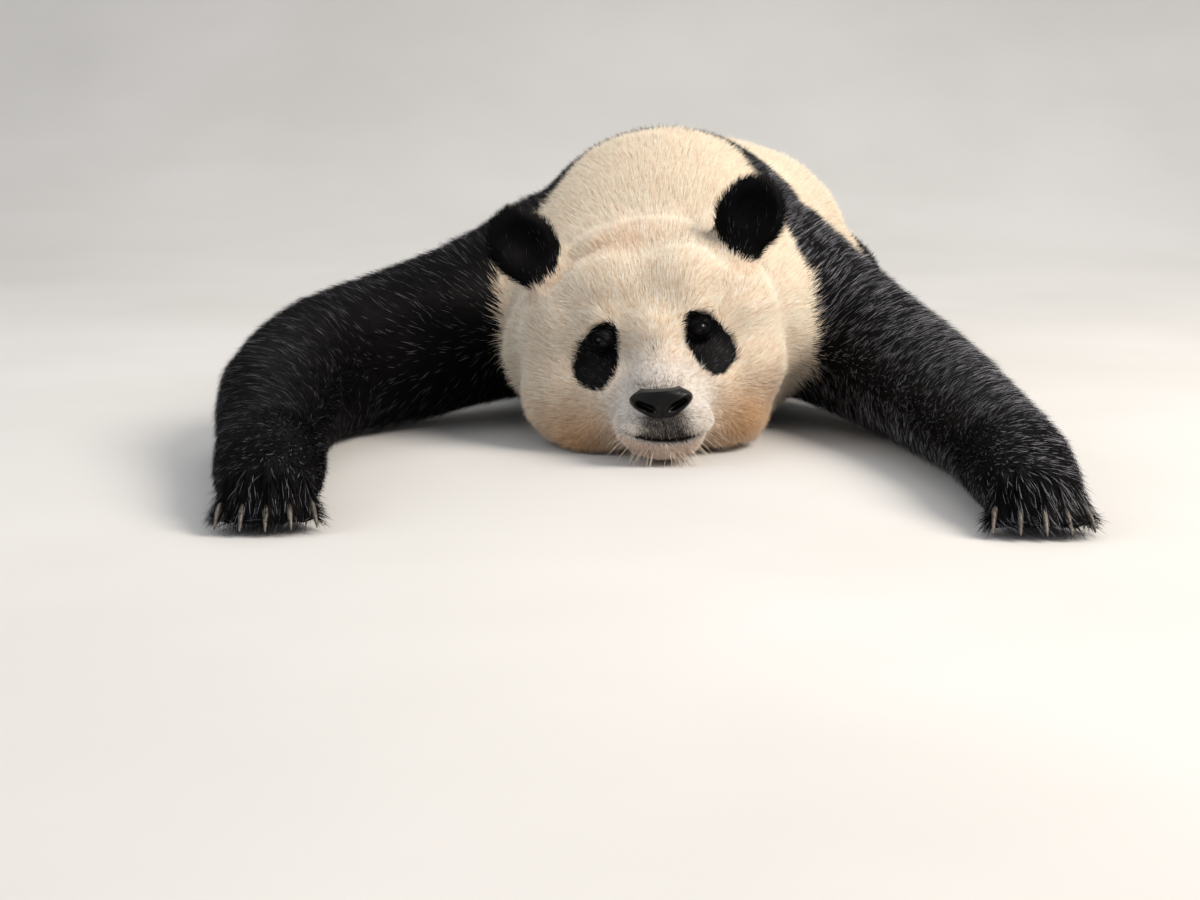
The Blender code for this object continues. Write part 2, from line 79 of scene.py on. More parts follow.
# For each region but the head: how deep the skin lies under the tips, then the hairs' length,
# width at the root, lift from the skin in degrees, spacing, how far their tips gather into locks,
# and how much their tone varies.
COAT = {
    "neck": (0.0080, 0.015, 0.0007, 25, 0.0015, 0.14, 0.13),
    "shoulders": (0.0090, 0.017, 0.0008, 22, 0.0021, 0.12, 0.22),
    "trunk": (0.0100, 0.022, 0.0012, 22, 0.0034, 0.14, 0.15),
    "tail": (0.0110, 0.024, 0.0014, 26, 0.0034, 0.18, 0.15),
    "ear": (0.0055, 0.011, 0.0008, 38, 0.0016, 0.18, 0.22),
    "foreleg": (0.0085, 0.018, 0.00075, 20, 0.0023, 0.12, 0.22),
    "forepaw": (0.0060, 0.014, 0.0008, 20, 0.0020, 0.14, 0.22),
    "hindleg": (0.0105, 0.022, 0.0012, 22, 0.0034, 0.15, 0.22),
    "hindfoot": (0.0070, 0.014, 0.0010, 22, 0.0026, 0.16, 0.22),
}
DEPTH, LENGTH, WIDTH, LIFT, SPACING, CLUMP, TONE = range(7)

# The same values on the head, by distance from the nose tip.
FACE_RADII = [0.030, 0.070, 0.120, 0.200, 0.270]
FACE_COAT = {
    DEPTH: [0.0012, 0.0024, 0.0045, 0.0070, 0.0085],
    LENGTH: [0.0034, 0.0058, 0.0095, 0.0135, 0.0165],
    WIDTH: [0.00040, 0.00046, 0.00056, 0.00068, 0.00075],
    LIFT: [16, 19, 23, 25, 26],
    SPACING: [0.00082, 0.00090, 0.00115, 0.0014, 0.0016],
    CLUMP: [0.05, 0.08, 0.12, 0.16, 0.20],
    TONE: [0.30, 0.29, 0.25, 0.21, 0.15],
}


# ------------------------------------------------------------------ small helpers
def middle(node):
    low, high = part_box(node)
    return (low + high) / 2


def unit(vectors):
    """Rows scaled to length 1."""
    return vectors / np.maximum(np.linalg.norm(vectors, axis=-1, keepdims=True), 1e-9)


def dot(a, b):
    return (a * b).sum(axis=-1)


def rise(value, low, high):
    """0 below low, 1 above high, and smooth between them."""
    share = np.clip((value - low) / (high - low), 0, 1)
    return share * share * (3 - 2 * share)


def fall(value, low, high):
    """1 below low, 0 above high, and smooth between them."""
    return rise(-value, -high, -low)


def bell(share):
    """1 at 0, 0.37 at 1 and -1, and next to nothing beyond 2."""
    return np.exp(-(share**2))


def linear(red, green, blue):
    """A display colour of 0 to 255 as the linear values that shaders take."""
    value = np.array([red, green, blue]) / 255
    return np.where(value <= 0.04045, value / 12.92, ((value + 0.055) / 1.055) ** 2.4)


def mixed(a, b, share):
    """Colours a turned into b by a share for each row."""
    share = np.asarray(share)[..., None]
    return a * (1 - share) + b * share


def stem(node):
    """A node's region: its name without the side."""
    return node.split("_")[0]


class HeadAxes:
    """Turns points between the panda's frame and the head's own."""

    def __init__(self):
        across = (middle("eye_left") - middle("eye_right")).normalized()
        up = across.cross(Vector((0, 1, 0))).normalized()
        back = up.cross(across)
        eyes = (middle("eye_left") + middle("eye_right")) / 2
        self.origin = np.array(eyes - up * EYE_ABOVE - back * EYE_BEHIND)
        self.axes = np.array([across, back, up])

    def local(self, points):
        return (np.asarray(points) - self.origin) @ self.axes.T

    def local_direction(self, directions):
        return np.asarray(directions) @ self.axes.T

    def world(self, points):
        return np.asarray(points) @ self.axes + self.origin

    def direction(self, directions):
        return np.asarray(directions) @ self.axes

    def matrix(self):
        turn = Matrix([list(row) for row in self.axes]).transposed().to_4x4()
        return Matrix.Translation(Vector(self.origin)) @ turn


HEAD = HeadAxes()


def noise_at(points, scale, seed=0.0):
    """Smooth noise from about -1 to 1 at each point; scale is the size of its blobs."""
    moved = points / scale + seed
    return np.array([noise.noise(row) for row in moved.tolist()])


def new_object(name, mesh):
    piece = bpy.data.objects.new(name, mesh)
    bpy.context.scene.collection.objects.link(piece)
    return piece


def mesh_of(bm, name):
    """A smooth-shaded mesh of a bmesh, which is given up."""
    mesh = bpy.data.meshes.new(name)
    bm.to_mesh(mesh)
    bm.free()
    mesh.shade_smooth()
    return mesh


# ------------------------------------------------------------------ the solids as one surface
class Solids:
    """The flesh nodes as one searchable surface, which knows each face's node."""

    def __init__(self):
        points, faces, owner = [], [], []
        for number, name in enumerate(FLESH):
            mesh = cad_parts[name].data
            start = len(points)
            points += [tuple(vertex.co) for vertex in mesh.vertices]
            faces += [tuple(start + v for v in polygon.vertices) for polygon in mesh.polygons]
            owner += [number] * len(mesh.polygons)
        self.owner = np.array(owner)
        self.tree = BVHTree.FromPolygons(points, faces)

    def nearest(self, points):
        """The nearest surface point of each point, and the number of the node that it is on."""
        found = [self.tree.find_nearest(row) for row in points.tolist()]
        places = np.array([tuple(hit[0]) for hit in found])
        return places, self.owner[[hit[2] for hit in found]]


def swollen(node, amount):
    """A welded copy of a node's mesh, moved out along its normals."""
    bm = bmesh.new()
    bm.from_mesh(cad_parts[node].data)
    bmesh.ops.remove_doubles(bm, verts=bm.verts, dist=1e-5)
    bm.normal_update()
    for vertex in bm.verts:
        vertex.co += vertex.normal * amount
    return bm


def closed_flesh():
    """One evenly meshed surface round all the flesh, the eyes and the nose."""
    bm = bmesh.new()
    for node in FLESH + ["nose", "eye_left", "eye_right"]:
        part = mesh_of(swollen(node, GAP_CLOSER), "part")
        bm.from_mesh(part)
        bpy.data.meshes.remove(part)
    whole = new_object("flesh", mesh_of(bm, "flesh"))
    remesh = whole.modifiers.new("Remesh", "REMESH")
    remesh.mode = "VOXEL"
    remesh.voxel_size = SKIN_VOXEL
    graph = bpy.context.evaluated_depsgraph_get()
    result = bpy.data.meshes.new_from_object(whole.evaluated_get(graph))
    bpy.data.objects.remove(whole)
    return result


def largest_island(bm):
    """Deletes all but the biggest connected part."""
    unseen = set(bm.verts)
    islands = []
    while unseen:
        first = unseen.pop()
        island, edge = {first}, [first]
        while edge:
            for link in edge.pop().link_edges:
                for vertex in link.verts:
                    if vertex in unseen:
                        unseen.remove(vertex)
                        island.add(vertex)
                        edge.append(vertex)
        islands.append(island)
    islands.sort(key=len)
    for island in islands[:-1]:
        bmesh.ops.delete(bm, geom=list(island), context="VERTS")


# ------------------------------------------------------------------ the skin
class Skin:
    """The skin's mesh as arrays, with the work that shapes it."""

    def __init__(self, mesh):
        self.bm = bmesh.new()
        self.bm.from_mesh(mesh)
        largest_island(self.bm)
        self.read()

    def read(self):
        """Takes points and edges from the bmesh."""
        self.bm.verts.index_update()
        self.points = np.array([tuple(vertex.co) for vertex in self.bm.verts])
        edges = np.array([[v.index for v in edge.verts] for edge in self.bm.edges])
        self.start = np.concatenate([edges[:, 0], edges[:, 1]])
        self.end = np.concatenate([edges[:, 1], edges[:, 0]])
        self.degree = np.bincount(self.start, minlength=len(self.points)).astype(float)
        self.update_normals()

    def write(self):
        """Gives the points back to the bmesh."""
        for vertex, place in zip(self.bm.verts, self.points.tolist()):
            vertex.co = place

    def update_normals(self):
        self.write()
        self.bm.normal_update()
        self.normals = np.array([tuple(vertex.normal) for vertex in self.bm.verts])

    def neighbour_mean(self, values):
        """The mean of each vertex's neighbours, for one value or several."""
        columns = values.reshape(len(values), -1)
        sums = [
            np.bincount(self.start, column[self.end], len(values)) / self.degree
            for column in columns.T
        ]
        return np.stack(sums, axis=1).reshape(values.shape)

    def spread(self, values, times, share=0.5):
        for _ in range(times):
            values = values + share * (self.neighbour_mean(values) - values)
        return values

    def smooth(self, times, where=None):
        """Evens out facets and keeps the volume: each pass in is followed by one out."""
        weight = 1 if where is None else where[:, None]
        for _ in range(times):
            for share in (0.50, -0.52):
                step = self.neighbour_mean(self.points) - self.points
                self.points = self.points + share * step * weight
        self.update_normals()

    def fill(self, times, where):
        """Raises hollows towards the level round them, by the share given for each point."""
        for _ in range(times):
            step = self.neighbour_mean(self.points) - self.points
            outward = np.maximum(dot(step, self.normals), 0) * where
            self.points = self.points + self.normals * outward[:, None]
        self.update_normals()

    def subdivide(self, chosen):
        """Splits the faces whose vertices are all chosen into four."""
        faces = [f for f in self.bm.faces if all(chosen[v.index] for v in f.verts)]
        edges = list({edge for face in faces for edge in face.edges})
        bmesh.ops.subdivide_edges(self.bm, edges=edges, cuts=1, use_grid_fill=True)
        self.read()

    def push(self, distance):
        """Moves each point along its normal."""
        self.points = self.points + self.normals * distance[:, None]


def coat_value(column, local, regions):
    """One column of COAT at each point, or of FACE_COAT on the head."""
    values = np.interp(np.linalg.norm(local, axis=1), FACE_RADII, FACE_COAT[column])
    for number, name in enumerate(FLESH):
        if name != "head":
            values[regions == number] = COAT[stem(name)][column]
    return values


def near_head(local, back, half_width, low, high):
    """Which points lie in a box of the head's frame, which is open in front."""
    x, y, z = local.T
    return (y < back) & (np.abs(x) < half_width) & (z > low) & (z < high)


def blob(local, centre, radii):
    """1 at the centre, falling to 0.37 at the radii."""
    return np.exp(-(((local - np.array(centre)) / np.array(radii)) ** 2).sum(axis=1))


def mirrored(forms):
    """Forms given for the left side, on both sides: each one's centre, then its other values."""
    for side in (1, -1):
        for (x, y, z), *rest in forms:
            yield (side * x, y, z), *rest


def line_distance(points, line):
    """Each point's distance to a line of points."""
    line = np.array(line)
    best = np.full(len(points), 1e9)
    for start, end in zip(line[:-1], line[1:]):
        along = end - start
        share = np.clip((points - start) @ along / (along @ along), 0, 1)
        best = np.minimum(best, np.linalg.norm(points - start - share[:, None] * along, axis=1))
    return best


# ------------------------------------------------------------------ the toes
TOE_LENGTH = 0.050
TOE_TIP = 0.004  # how far a toe runs past its claw's root
TOE_SPREAD = 0.0085
TOE_CLEFT = 0.0055
CLEFT_REACH = 0.030  # how far from a toe's line the clefts are pressed
TOE_REACH = 0.034  # how far from it the skin is fine, and the hairs follow the toe


def claw_lines():
    """Each claw's root, and the level direction in which it points, one row for each."""
    roots, headings = [], []
    for limb in ("forepaw", "hindfoot"):
        for side in SIDES:
            foot = np.array(middle(f"{limb}_{side}"))
            for number in range(1, 6):
                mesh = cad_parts[f"claw_{limb}_{side}_{number}"].data
                points = np.array([tuple(vertex.co) for vertex in mesh.vertices])
                points = points[np.argsort(np.linalg.norm(points - foot, axis=1))]
                root = points[: len(points) // 3].mean(axis=0)
                along = points[-1] - root
                along[2] = 0
                roots.append(root)
                headings.append(unit(along))
    return np.array(roots), np.array(headings)


CLAW_ROOTS, CLAW_HEADINGS = claw_lines()


def near_toes(points):
    """How far along its toe each point is, its distance from the toe's line, and which toe."""
    offset = points[:, None] - CLAW_ROOTS
    along = (offset * CLAW_HEADINGS).sum(axis=2)
    beyond = offset - np.clip(along, -TOE_LENGTH, TOE_TIP)[:, :, None] * CLAW_HEADINGS
    distance = np.linalg.norm(beyond[:, :, :2], axis=2)
    toe = distance.argmin(axis=1)
    rows = np.arange(len(points))
    reach = rise(along[rows, toe], -TOE_LENGTH, -TOE_LENGTH * 0.45)
    return reach, distance[rows, toe], toe


def shape_toes(skin):
    """Raises the toes a little and presses clefts between them."""
    reach, distance, _ = near_toes(skin.points)
    close = distance < CLEFT_REACH
    between = 1 - bell(distance / TOE_SPREAD)
    upper = 0.35 + 0.65 * rise(skin.normals[:, 2], -0.4, 0.3)
    skin.push(np.where(close, TOE_CLEFT * reach * upper * (0.25 - between), 0))


# ------------------------------------------------------------------ the face's own forms
MOUTH_HEIGHT = -0.0405
MOUTH_CURVE = 4.5
MOUTH_SLOPE = -0.14
MOUTH_HALF = 0.056

# The mouth's line and the lips above and below it: height over the line, half width and depth.
MOUTH_LINE = (0.0, 0.0019, -0.0030)
LIPS_RAISED = [(0.0065, 0.0048, 0.0016), (-0.0070, 0.0050, 0.0014)]
LIP_GROOVE = (0.0016, 0.0016)  # the half width and the depth of the groove below the nose

# Forms of the left side, as centre, radii and height: the lip's pad, the hollow inside the eye and
# the brow.
FACE_FORMS = [
    ((0.030, 0.030, -0.026), (0.016, 0.030, 0.014), 0.0022),
    ((0.038, 0.100, 0.048), (0.012, 0.030, 0.016), -0.0030),
    ((0.056, 0.110, 0.090), (0.024, 0.030, 0.012), 0.0030),
]

# Where fur evens out the hollows: beside the chin, and between cheek and ruff.
HOLLOWS = [
    ((0.054, 0.085, -0.050), (0.022, 0.045, 0.022)),
    ((0.148, 0.195, 0.030), (0.030, 0.040, 0.090)),
]

# Where the lower cheeks draw in under the coat, and by how much: centre, radii and depth.
CHEEK_TUCKS = [
    ((0.140, 0.150, -0.042), (0.046, 0.080, 0.044), 0.0150),
    ((-0.138, 0.150, -0.052), (0.040, 0.080, 0.036), 0.0070),
]

NOSE_HALF = (0.0337, 0.0155)
NOSE_SEAT = 0.0030  # how deep the skin is pressed in behind the pad
NOSE_LEVEL = math.radians(3.5)  # the pad lies more level than the tilted head
EYE_SLIT = (0.0084, 0.0046)
EYE_SLANT = math.radians(22)
LID_THICKNESS, LID_RIM = 0.0014, 0.0010
LID_DROP = 0.0055  # how far the skin drops behind the ball in the slit
LID_REACH = 0.026
LID_BLEND = (0.0105, 0.0230)  # where the lids start and end to turn into the skin round them
PATCH_CENTRE = (0.0592, 0.0478)
PATCH_HALF = (0.0226, 0.0380)
PATCH_TILT = math.radians(28)
EAR_MIDDLE = (0.1275, 0.1660)
EAR_BLACK = (0.042, 0.046)
EAR_DEPTHS = (0.14, 0.218)  # how far behind the nose the ears' black starts and ends
PATCH_BACK = 0.19  # how far behind it the eye patches can reach
FAR = 9.0  # the share given where a marking can't be

# The fold where the crown meets the nape, and the dent before the left ear, as x and z on the face.
CROWN_FOLD = [(-0.104, 0.118), (-0.078, 0.136), (-0.049, 0.150), (-0.024, 0.162), (0.000, 0.170)]
EAR_DENT = [(0.060, 0.172), (0.080, 0.160), (0.092, 0.146)]
FOLD_WIDTH, FOLD_DEPTH, FOLD_RIDGE = 0.0070, 0.0034, 0.0022
DENT_WIDTH, DENT_DEPTH = 0.0090, 0.0050


def mouth_height(x):
    """The mouth line's height: it lies more level than the tilted head."""
    return MOUTH_HEIGHT + MOUTH_SLOPE * x + MOUTH_CURVE * x**2


def mouth_offset(local):
    """Height above the mouth line."""
    return local[:, 2] - mouth_height(local[:, 0])


def patch_share(local, side):
    """Distance from an eye patch's centre, where 1 is its edge."""
    x = side * local[:, 0] - PATCH_CENTRE[0]
    z = local[:, 2] - PATCH_CENTRE[1]
    across = x * math.cos(PATCH_TILT) + z * math.sin(PATCH_TILT)
    along = -x * math.sin(PATCH_TILT) + z * math.cos(PATCH_TILT)
    half = PATCH_HALF[0] * (1 - 0.13 * along / PATCH_HALF[1])
    share = (np.abs(across / half) ** 2.3 + np.abs(along / PATCH_HALF[1]) ** 2.3) ** (1 / 2.3)
    return np.where(local[:, 1] < PATCH_BACK, share, FAR)


def ear_share(local):
    """Distance from the nearer ear's middle, where 1 is the edge of its black."""
    x = np.abs(local[:, 0]) - EAR_MIDDLE[0]
    z = local[:, 2] - EAR_MIDDLE[1]
    share = np.hypot(x / EAR_BLACK[0], z / EAR_BLACK[1])
    at_ear = (local[:, 1] > EAR_DEPTHS[0]) & (local[:, 1] < EAR_DEPTHS[1])
    return np.where(at_ear, share, FAR)


class Eye:
    """An eyeball's place, the way that it looks, and its slit's axes, in the head's frame."""

    def __init__(self, side, skin):
        self.side = SIDES[side]
        low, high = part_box(f"eye_{side}")
        self.radius = (high.x - low.x) / 2
        self.centre = HEAD.local(np.array(middle(f"eye_{side}")))
        local = HEAD.local(skin.points)
        near = np.linalg.norm(local - self.centre, axis=1) < 0.024
        outward = near & (HEAD.local_direction(skin.normals)[:, 1] < -0.2)
        self.forward = unit(HEAD.local_direction(skin.normals[outward]).mean(axis=0))
        slit = np.array([self.side * math.cos(EYE_SLANT), 0, math.sin(EYE_SLANT)])
        self.across = unit(slit - self.forward * (slit @ self.forward))
        self.upward = self.side * np.cross(self.forward, self.across)

    def plane(self, local):
        """A point's place across the slit, up it, and forward of the eyeball's centre."""
        offset = local - self.centre
        return offset @ self.across, offset @ self.upward, offset @ self.forward

    def slit_share(self, across, upward):
        """0 in the slit's middle and 1 on its edge, which comes to a point at both corners."""
        lid = np.where(upward > 0, EYE_SLIT[1], EYE_SLIT[1] * 0.85)
        return ((across / EYE_SLIT[0]) ** 2 + (upward / lid) ** 2) ** 0.5

    def open_lids(self, skin):
        """Wraps the skin round the eyeball as lids, and drops it behind the ball in the slit."""
        local = HEAD.local(skin.points)
        across, upward, height = self.plane(local)
        flat = np.hypot(across, upward)
        share = self.slit_share(across, upward)
        near = (flat < LID_REACH) & (height > -0.004) & (height < 0.03)
        hug = np.sqrt(np.maximum((self.radius + LID_THICKNESS) ** 2 - flat**2, 0))
        rim = LID_RIM * bell((share - 1.25) / 0.22)
        lids = hug + rim
        blend = rise(flat, *LID_BLEND)
        target = lids * (1 - blend) + np.minimum(height, hug + 0.010) * blend
        target = np.where(share < 1, hug - LID_DROP * rise(1 - share, 0.0, 0.18), target)
        move = np.where(near, target - height, 0)
        skin.points = skin.points + HEAD.direction(move[:, None] * self.forward)


def seat_share(x, z):
    """The cube of the distance from the nose pad's middle, where 1 is its edge."""
    return np.abs(x / NOSE_HALF[0]) ** 3 + np.abs(z / NOSE_HALF[1]) ** 3


def shape_face(skin):
    """Presses in the mouth, the nose's seat and the folds, and raises lips and brows."""
    local = HEAD.local(skin.points)
    x, y, z = local.T
    facing = HEAD.local_direction(skin.normals)
    muzzle = fall(y, 0.080, 0.105) * fall(np.abs(x), MOUTH_HALF, MOUTH_HALF + 0.008)
    above = mouth_offset(local)
    move = np.zeros(len(local))
    for height, half, depth in (MOUTH_LINE, *LIPS_RAISED):
        move += depth * bell((above - height) / half) * muzzle
    half, depth = LIP_GROOVE
    groove = bell(x / half) * fall(z, -0.018, -0.010) * rise(above, 0, 0.003)
    move -= depth * groove * muzzle
    for centre, radii, height in mirrored(FACE_FORMS):
        move += height * blob(local, centre, radii)
    seat = seat_share(x, z) ** (1 / 3)
    move -= NOSE_SEAT * fall(seat, 0.75, 1.05) * (y < 0.04) * (facing[:, 1] < 0.2)
    skin.push(move)


def on_face(skin_tree, x, z):
    """The skin's first point behind a place on the face, in the head's frame."""
    start = HEAD.world([x, -0.2, z])
    hit = skin_tree.ray_cast(Vector(start), Vector(HEAD.direction([0, 1, 0])))
    return HEAD.local(np.array(hit[0]))


def fold_crown(skin):
    """The crease behind the crown, and the dent before the left ear."""
    tree = BVHTree.FromBMesh(skin.bm)
    local = HEAD.local(skin.points)
    fold = line_distance(local, [on_face(tree, x, z) for x, z in CROWN_FOLD])
    dent = line_distance(local, [on_face(tree, x, z) for x, z in EAR_DENT])
    ahead = bell((fold - 0.013) / 0.009) * (local[:, 1] < 0.17)
    skin.push(-FOLD_DEPTH * bell(fold / FOLD_WIDTH) + FOLD_RIDGE * ahead)
    skin.update_normals()
    skin.push(-DENT_DEPTH * bell(dent / DENT_WIDTH))


def hollows(local):
    """How far each point is to be evened out, from 0 to 1."""
    share = sum(blob(local, centre, radii) for centre, radii in mirrored(HOLLOWS))
    return np.clip(1.4 * share, 0, 1)


def tuck_cheeks(skin):
    """Narrows the cheeks towards the floor."""
    local = HEAD.local(skin.points)
    skin.push(-sum(depth * blob(local, centre, radii) for centre, radii, depth in CHEEK_TUCKS))
    skin.update_normals()


def make_skin(solids):
    """The one skin: the flesh's shape without facets, sunk by the coat's depth."""
    skin = Skin(closed_flesh())
    skin.smooth(26)
    nearest, regions = solids.nearest(skin.points)
    local = HEAD.local(skin.points)
    proud = skin.spread(dot(skin.points - nearest, skin.normals), 8)
    depth = skin.spread(coat_value(DEPTH, local, regions), 14)
    skin.push(-proud - depth)
    skin.smooth(4)
    for area in FINER:
        skin.subdivide(near_head(HEAD.local(skin.points), *area))
    skin.smooth(6)
    skin.fill(60, hollows(HEAD.local(skin.points)))
    tuck_cheeks(skin)
    fold_crown(skin)
    skin.update_normals()
    eyes = [Eye(side, skin) for side in SIDES]
    local = HEAD.local(skin.points)
    fine = near_head(local, *FINEST)
    for eye in eyes:
        fine |= np.linalg.norm(local - eye.centre, axis=1) < EYE_FINEST
    reach, distance, _ = near_toes(skin.points)
    fine |= (reach > 0) & (distance < TOE_REACH)
    skin.subdivide(fine)
    skin.smooth(3)
    shape_face(skin)
    skin.update_normals()
    shape_toes(skin)
    skin.smooth(1)
    for eye in eyes:
        eye.open_lids(skin)
    skin.points[:, 2] = np.maximum(skin.points[:, 2], FLOOR_GAP)
    skin.update_normals()
    return skin, eyes


# ------------------------------------------------------------------ the lie of the coat
# How strongly hairs turn down on the flanks, outwards on the forelegs, and forwards on the toes.
SAG, ARM_LIE, TOE_LIE = 0.30, 0.80, 2.0


def distances_from_nose(skin):
    """Each vertex's way along the skin from the nose tip, as the vertex that comes before it."""
    count = len(skin.points)
    lengths = np.linalg.norm(skin.points[skin.start] - skin.points[skin.end], axis=1)
    order = np.argsort(skin.start, kind="stable")
    firsts = np.searchsorted(skin.start[order], np.arange(count + 1)).tolist()
    ends, lengths = skin.end[order].tolist(), lengths[order].tolist()
    local = HEAD.local(skin.points)
    source = int(np.argmin(np.linalg.norm(local, axis=1)))
    reached, before = [math.inf] * count, list(range(count))
    reached[source] = 0.0
    queue = [(0.0, source)]
    while queue:
        length, vertex = heapq.heappop(queue)
        if length > reached[vertex]:
            continue
        for link in range(firsts[vertex], firsts[vertex + 1]):
            there, total = ends[link], length + lengths[link]
            if total < reached[there]:
                reached[there], before[there] = total, vertex
                heapq.heappush(queue, (total, there))
    return np.array(before)


def lie_of_coat(skin, regions):
    """The way that hairs point: away from the nose along the skin, with the turns above."""
    before = distances_from_nose(skin)
    ancestor = before
    for _ in range(7):
        ancestor = before[ancestor]
    lie = unit(skin.points - skin.points[ancestor])
    torso = np.isin(regions, [FLESH.index(name) for name in TORSO[1:]])
    arms = np.isin(regions, [FLESH.index(f"foreleg_{side}") for side in SIDES])
    lie[:, 2] -= SAG * torso * (1 - np.abs(skin.normals[:, 2]))
    lie[:, 0] += ARM_LIE * arms * np.sign(skin.points[:, 0])
    reach, distance, toe = near_toes(skin.points)
    lie += (TOE_LIE * reach * (distance < TOE_REACH))[:, None] * CLAW_HEADINGS[toe]
    for _ in range(6):
        lie -= skin.normals * dot(lie, skin.normals)[:, None]
        lie = unit(skin.spread(unit(lie), 5))
    return unit(lie - skin.normals * dot(lie, skin.normals)[:, None])


# ------------------------------------------------------------------ colours
CREAM = linear(250, 232, 211)
CREAM_BACK = linear(242, 225, 201)
MUZZLE = linear(236, 230, 224)
TAN = linear(194, 148, 98)
ROSE = linear(228, 182, 150)
CHIN = linear(214, 186, 170)
COAL = linear(7, 6, 8)
SPECKLE = linear(37, 29, 23)
LIPS = linear(22, 16, 16)
# How much darker the roots of pale hairs are: partly their own tan, partly painted shade in the coat's
# depth.
ROOT_TAN_AND_PAINTED_SHADE = np.array([0.75, 0.67, 0.58])
MUZZLE_SHADE = np.array([0.38, 0.43, 0.50])  # what the speckled zone's hairs lose of their colour

# How many of a node's or a region's black hairs have a painted glint at the tip, and how strong it is:
# painted highlights, most on the left foreleg and paw, nearer the key light.
PAINTED_GLINT = linear(205, 205, 213)
PAINTED_GLINTS = {
    "head": (0.05, 0.22),
    "ear": (0.015, 0.22),
    "shoulders": (0.09, 0.55),
    "foreleg_left": (0.17, 0.90),
    "foreleg_right": (0.05, 0.42),
    "forepaw_left": (0.13, 0.80),
    "forepaw_right": (0.06, 0.60),
    "hindleg": (0.06, 0.60),
    "hindfoot": (0.07, 0.60),
}

# Where skin shows through as rose: centre, radii and strength.
ROSE_SPOTS = [
    ((-0.020, 0.170, 0.158), (0.034, 0.040, 0.016), 1.0),
    ((0.118, 0.150, 0.120), (0.022, 0.030, 0.018), 1.0),
    ((-0.110, 0.180, 0.110), (0.030, 0.030, 0.022), 0.6),
    ((0.012, 0.075, 0.034), (0.012, 0.020, 0.009), 0.7),
]
ROSE_SHARE, TAN_SHARE, CHIN_SHARE = 0.50, 0.96, 0.75


class Markings:
    """Which places are black, and the shade of each, by rules over the nodes and the face.

    The face's rules are lengths from the nose tip, along the head's own axes.
    """

    def __init__(self, solids, random):
        self.solids = solids
        self.random = random
        self.black_node = np.array([stem(name) in BLACK for name in FLESH])

    def black(self, points, ragged):
        """Where the coat is black. Ragged is how far single hairs stray over an edge."""
        stray = self.random.normal(0, 1, points.shape) * ragged
        wave = noise_at(points, 0.045, 3.1) * 0.007 + noise_at(points, 0.016, 8.4) * 0.003
        moved = points + stray + wave[:, None] * np.array([0.7, 0.7, 0.2])
        black = self.black_node[self.solids.nearest(moved)[1]]
        local = HEAD.local(points + stray * 0.35)
        edge = 1 + 0.05 * noise_at(points, 0.010, 5.2)
        for side in (1, -1):
            black |= patch_share(local, side) < edge
        return black | (ear_share(local) < edge)

    def cream(self, points):
        """The pale coat's colour: whiter on the muzzle, tan under the cheeks, rose on the crown."""
        local = HEAD.local(points)
        x, y, z = local.T
        from_nose = np.linalg.norm(local, axis=1)
        colour = mixed(CREAM, CREAM_BACK, rise(y, 0.15, 0.45))
        colour = mixed(colour, MUZZLE, fall(from_nose, 0.065, 0.115))
        tan = np.exp(-(((np.abs(x) - 0.092) / 0.052) ** 2) - ((z + 0.046) / 0.044) ** 2)
        tan = np.maximum(tan, 0.55 * fall(z, -0.085, -0.050)) * fall(y, 0.20, 0.26)
        tan *= rise(from_nose, 0.070, 0.105)
        colour = mixed(colour, TAN, TAN_SHARE * tan)
        rose = sum(strength * blob(local, centre, radii) for centre, radii, strength in ROSE_SPOTS)
        colour = mixed(colour, ROSE, ROSE_SHARE * np.clip(rose, 0, 1))
        chin = fall(mouth_offset(local), -0.007, -0.002) * fall(y, 0.075, 0.095)
        colour = mixed(colour, CHIN, CHIN_SHARE * chin * (np.abs(x) < MOUTH_HALF))
        shade = 1 + 0.045 * noise_at(points, 0.060, 1.7) + 0.030 * noise_at(points, 0.012, 6.6)
        return colour * shade[:, None]

    def speckled(self, points):
        """How likely a hair is to be dark between the nose and the mouth, and above the nose."""
        x, y, z = HEAD.local(points).T
        above = mouth_offset(HEAD.local(points))
        lip = rise(above, -0.003, 0.001) * fall(np.abs(x), 0.012, 0.038) * fall(z, -0.013, -0.008)
        line = bell((above - 0.0012) / 0.0044) * fall(np.abs(x), 0.016, 0.046)
        brim = 0.36 * fall(z, 0.016, 0.027) * rise(z, 0.010, 0.015)
        bridge = 0.05 * fall(z, 0.050, 0.070) * rise(z, 0.012, 0.020) * fall(np.abs(x), 0, 0.020)
        brim *= fall(np.abs(x), 0.012, 0.034)
        return np.clip(0.96 * lip + line + brim + bridge, 0, 0.98) * (y < 0.110)

    def paint(self, points, ragged):
        """Each place's colour, and whether it is black."""
        black = self.black(points, ragged)
        return np.where(black[:, None], COAL, self.cream(points)), black


# ------------------------------------------------------------------ tufts
PATCH_SIZE = 0.003

# A tuft has a three-cornered root and a tip. Each corner's place on its patch of the map.
TUFT_FACES = np.array([(0, 1, 3), (0, 3, 2), (2, 3, 1), (0, 2, 1)])
TUFT_MAP = np.array([(-0.5, 0.0), (0.5, 0.0), (0.0, 0.15), (0.0, 1.0)]) * PATCH_SIZE
STRAY = 0.0045  # how far single hairs stray over the edge of a marking
LOCK_SIZE = 6
LOCK_TONE = 0.6  # how far the tufts of a lock share their tone
TONE_TINT = np.array([0.76, 1.00, 1.26])  # darker hairs are warmer
SOFTNESS = 0.72  # how far a tuft is shaded like the skin that it grows from
PALE_TIPS = 0.22  # how far the tips of pale hairs go back to cream

# How much longer or shorter the hairs are in the eye patches, on the head's side of the ears, over
# the claws and on the chin, and how much further they lift on the chin and under the head.
PATCH_HAIR, EAR_HAIR, CLAW_HAIR, CHIN_HAIR = -0.30, -0.38, 0.80, 0.15
CHIN_LIFT, UNDER_LIFT = 6, 12


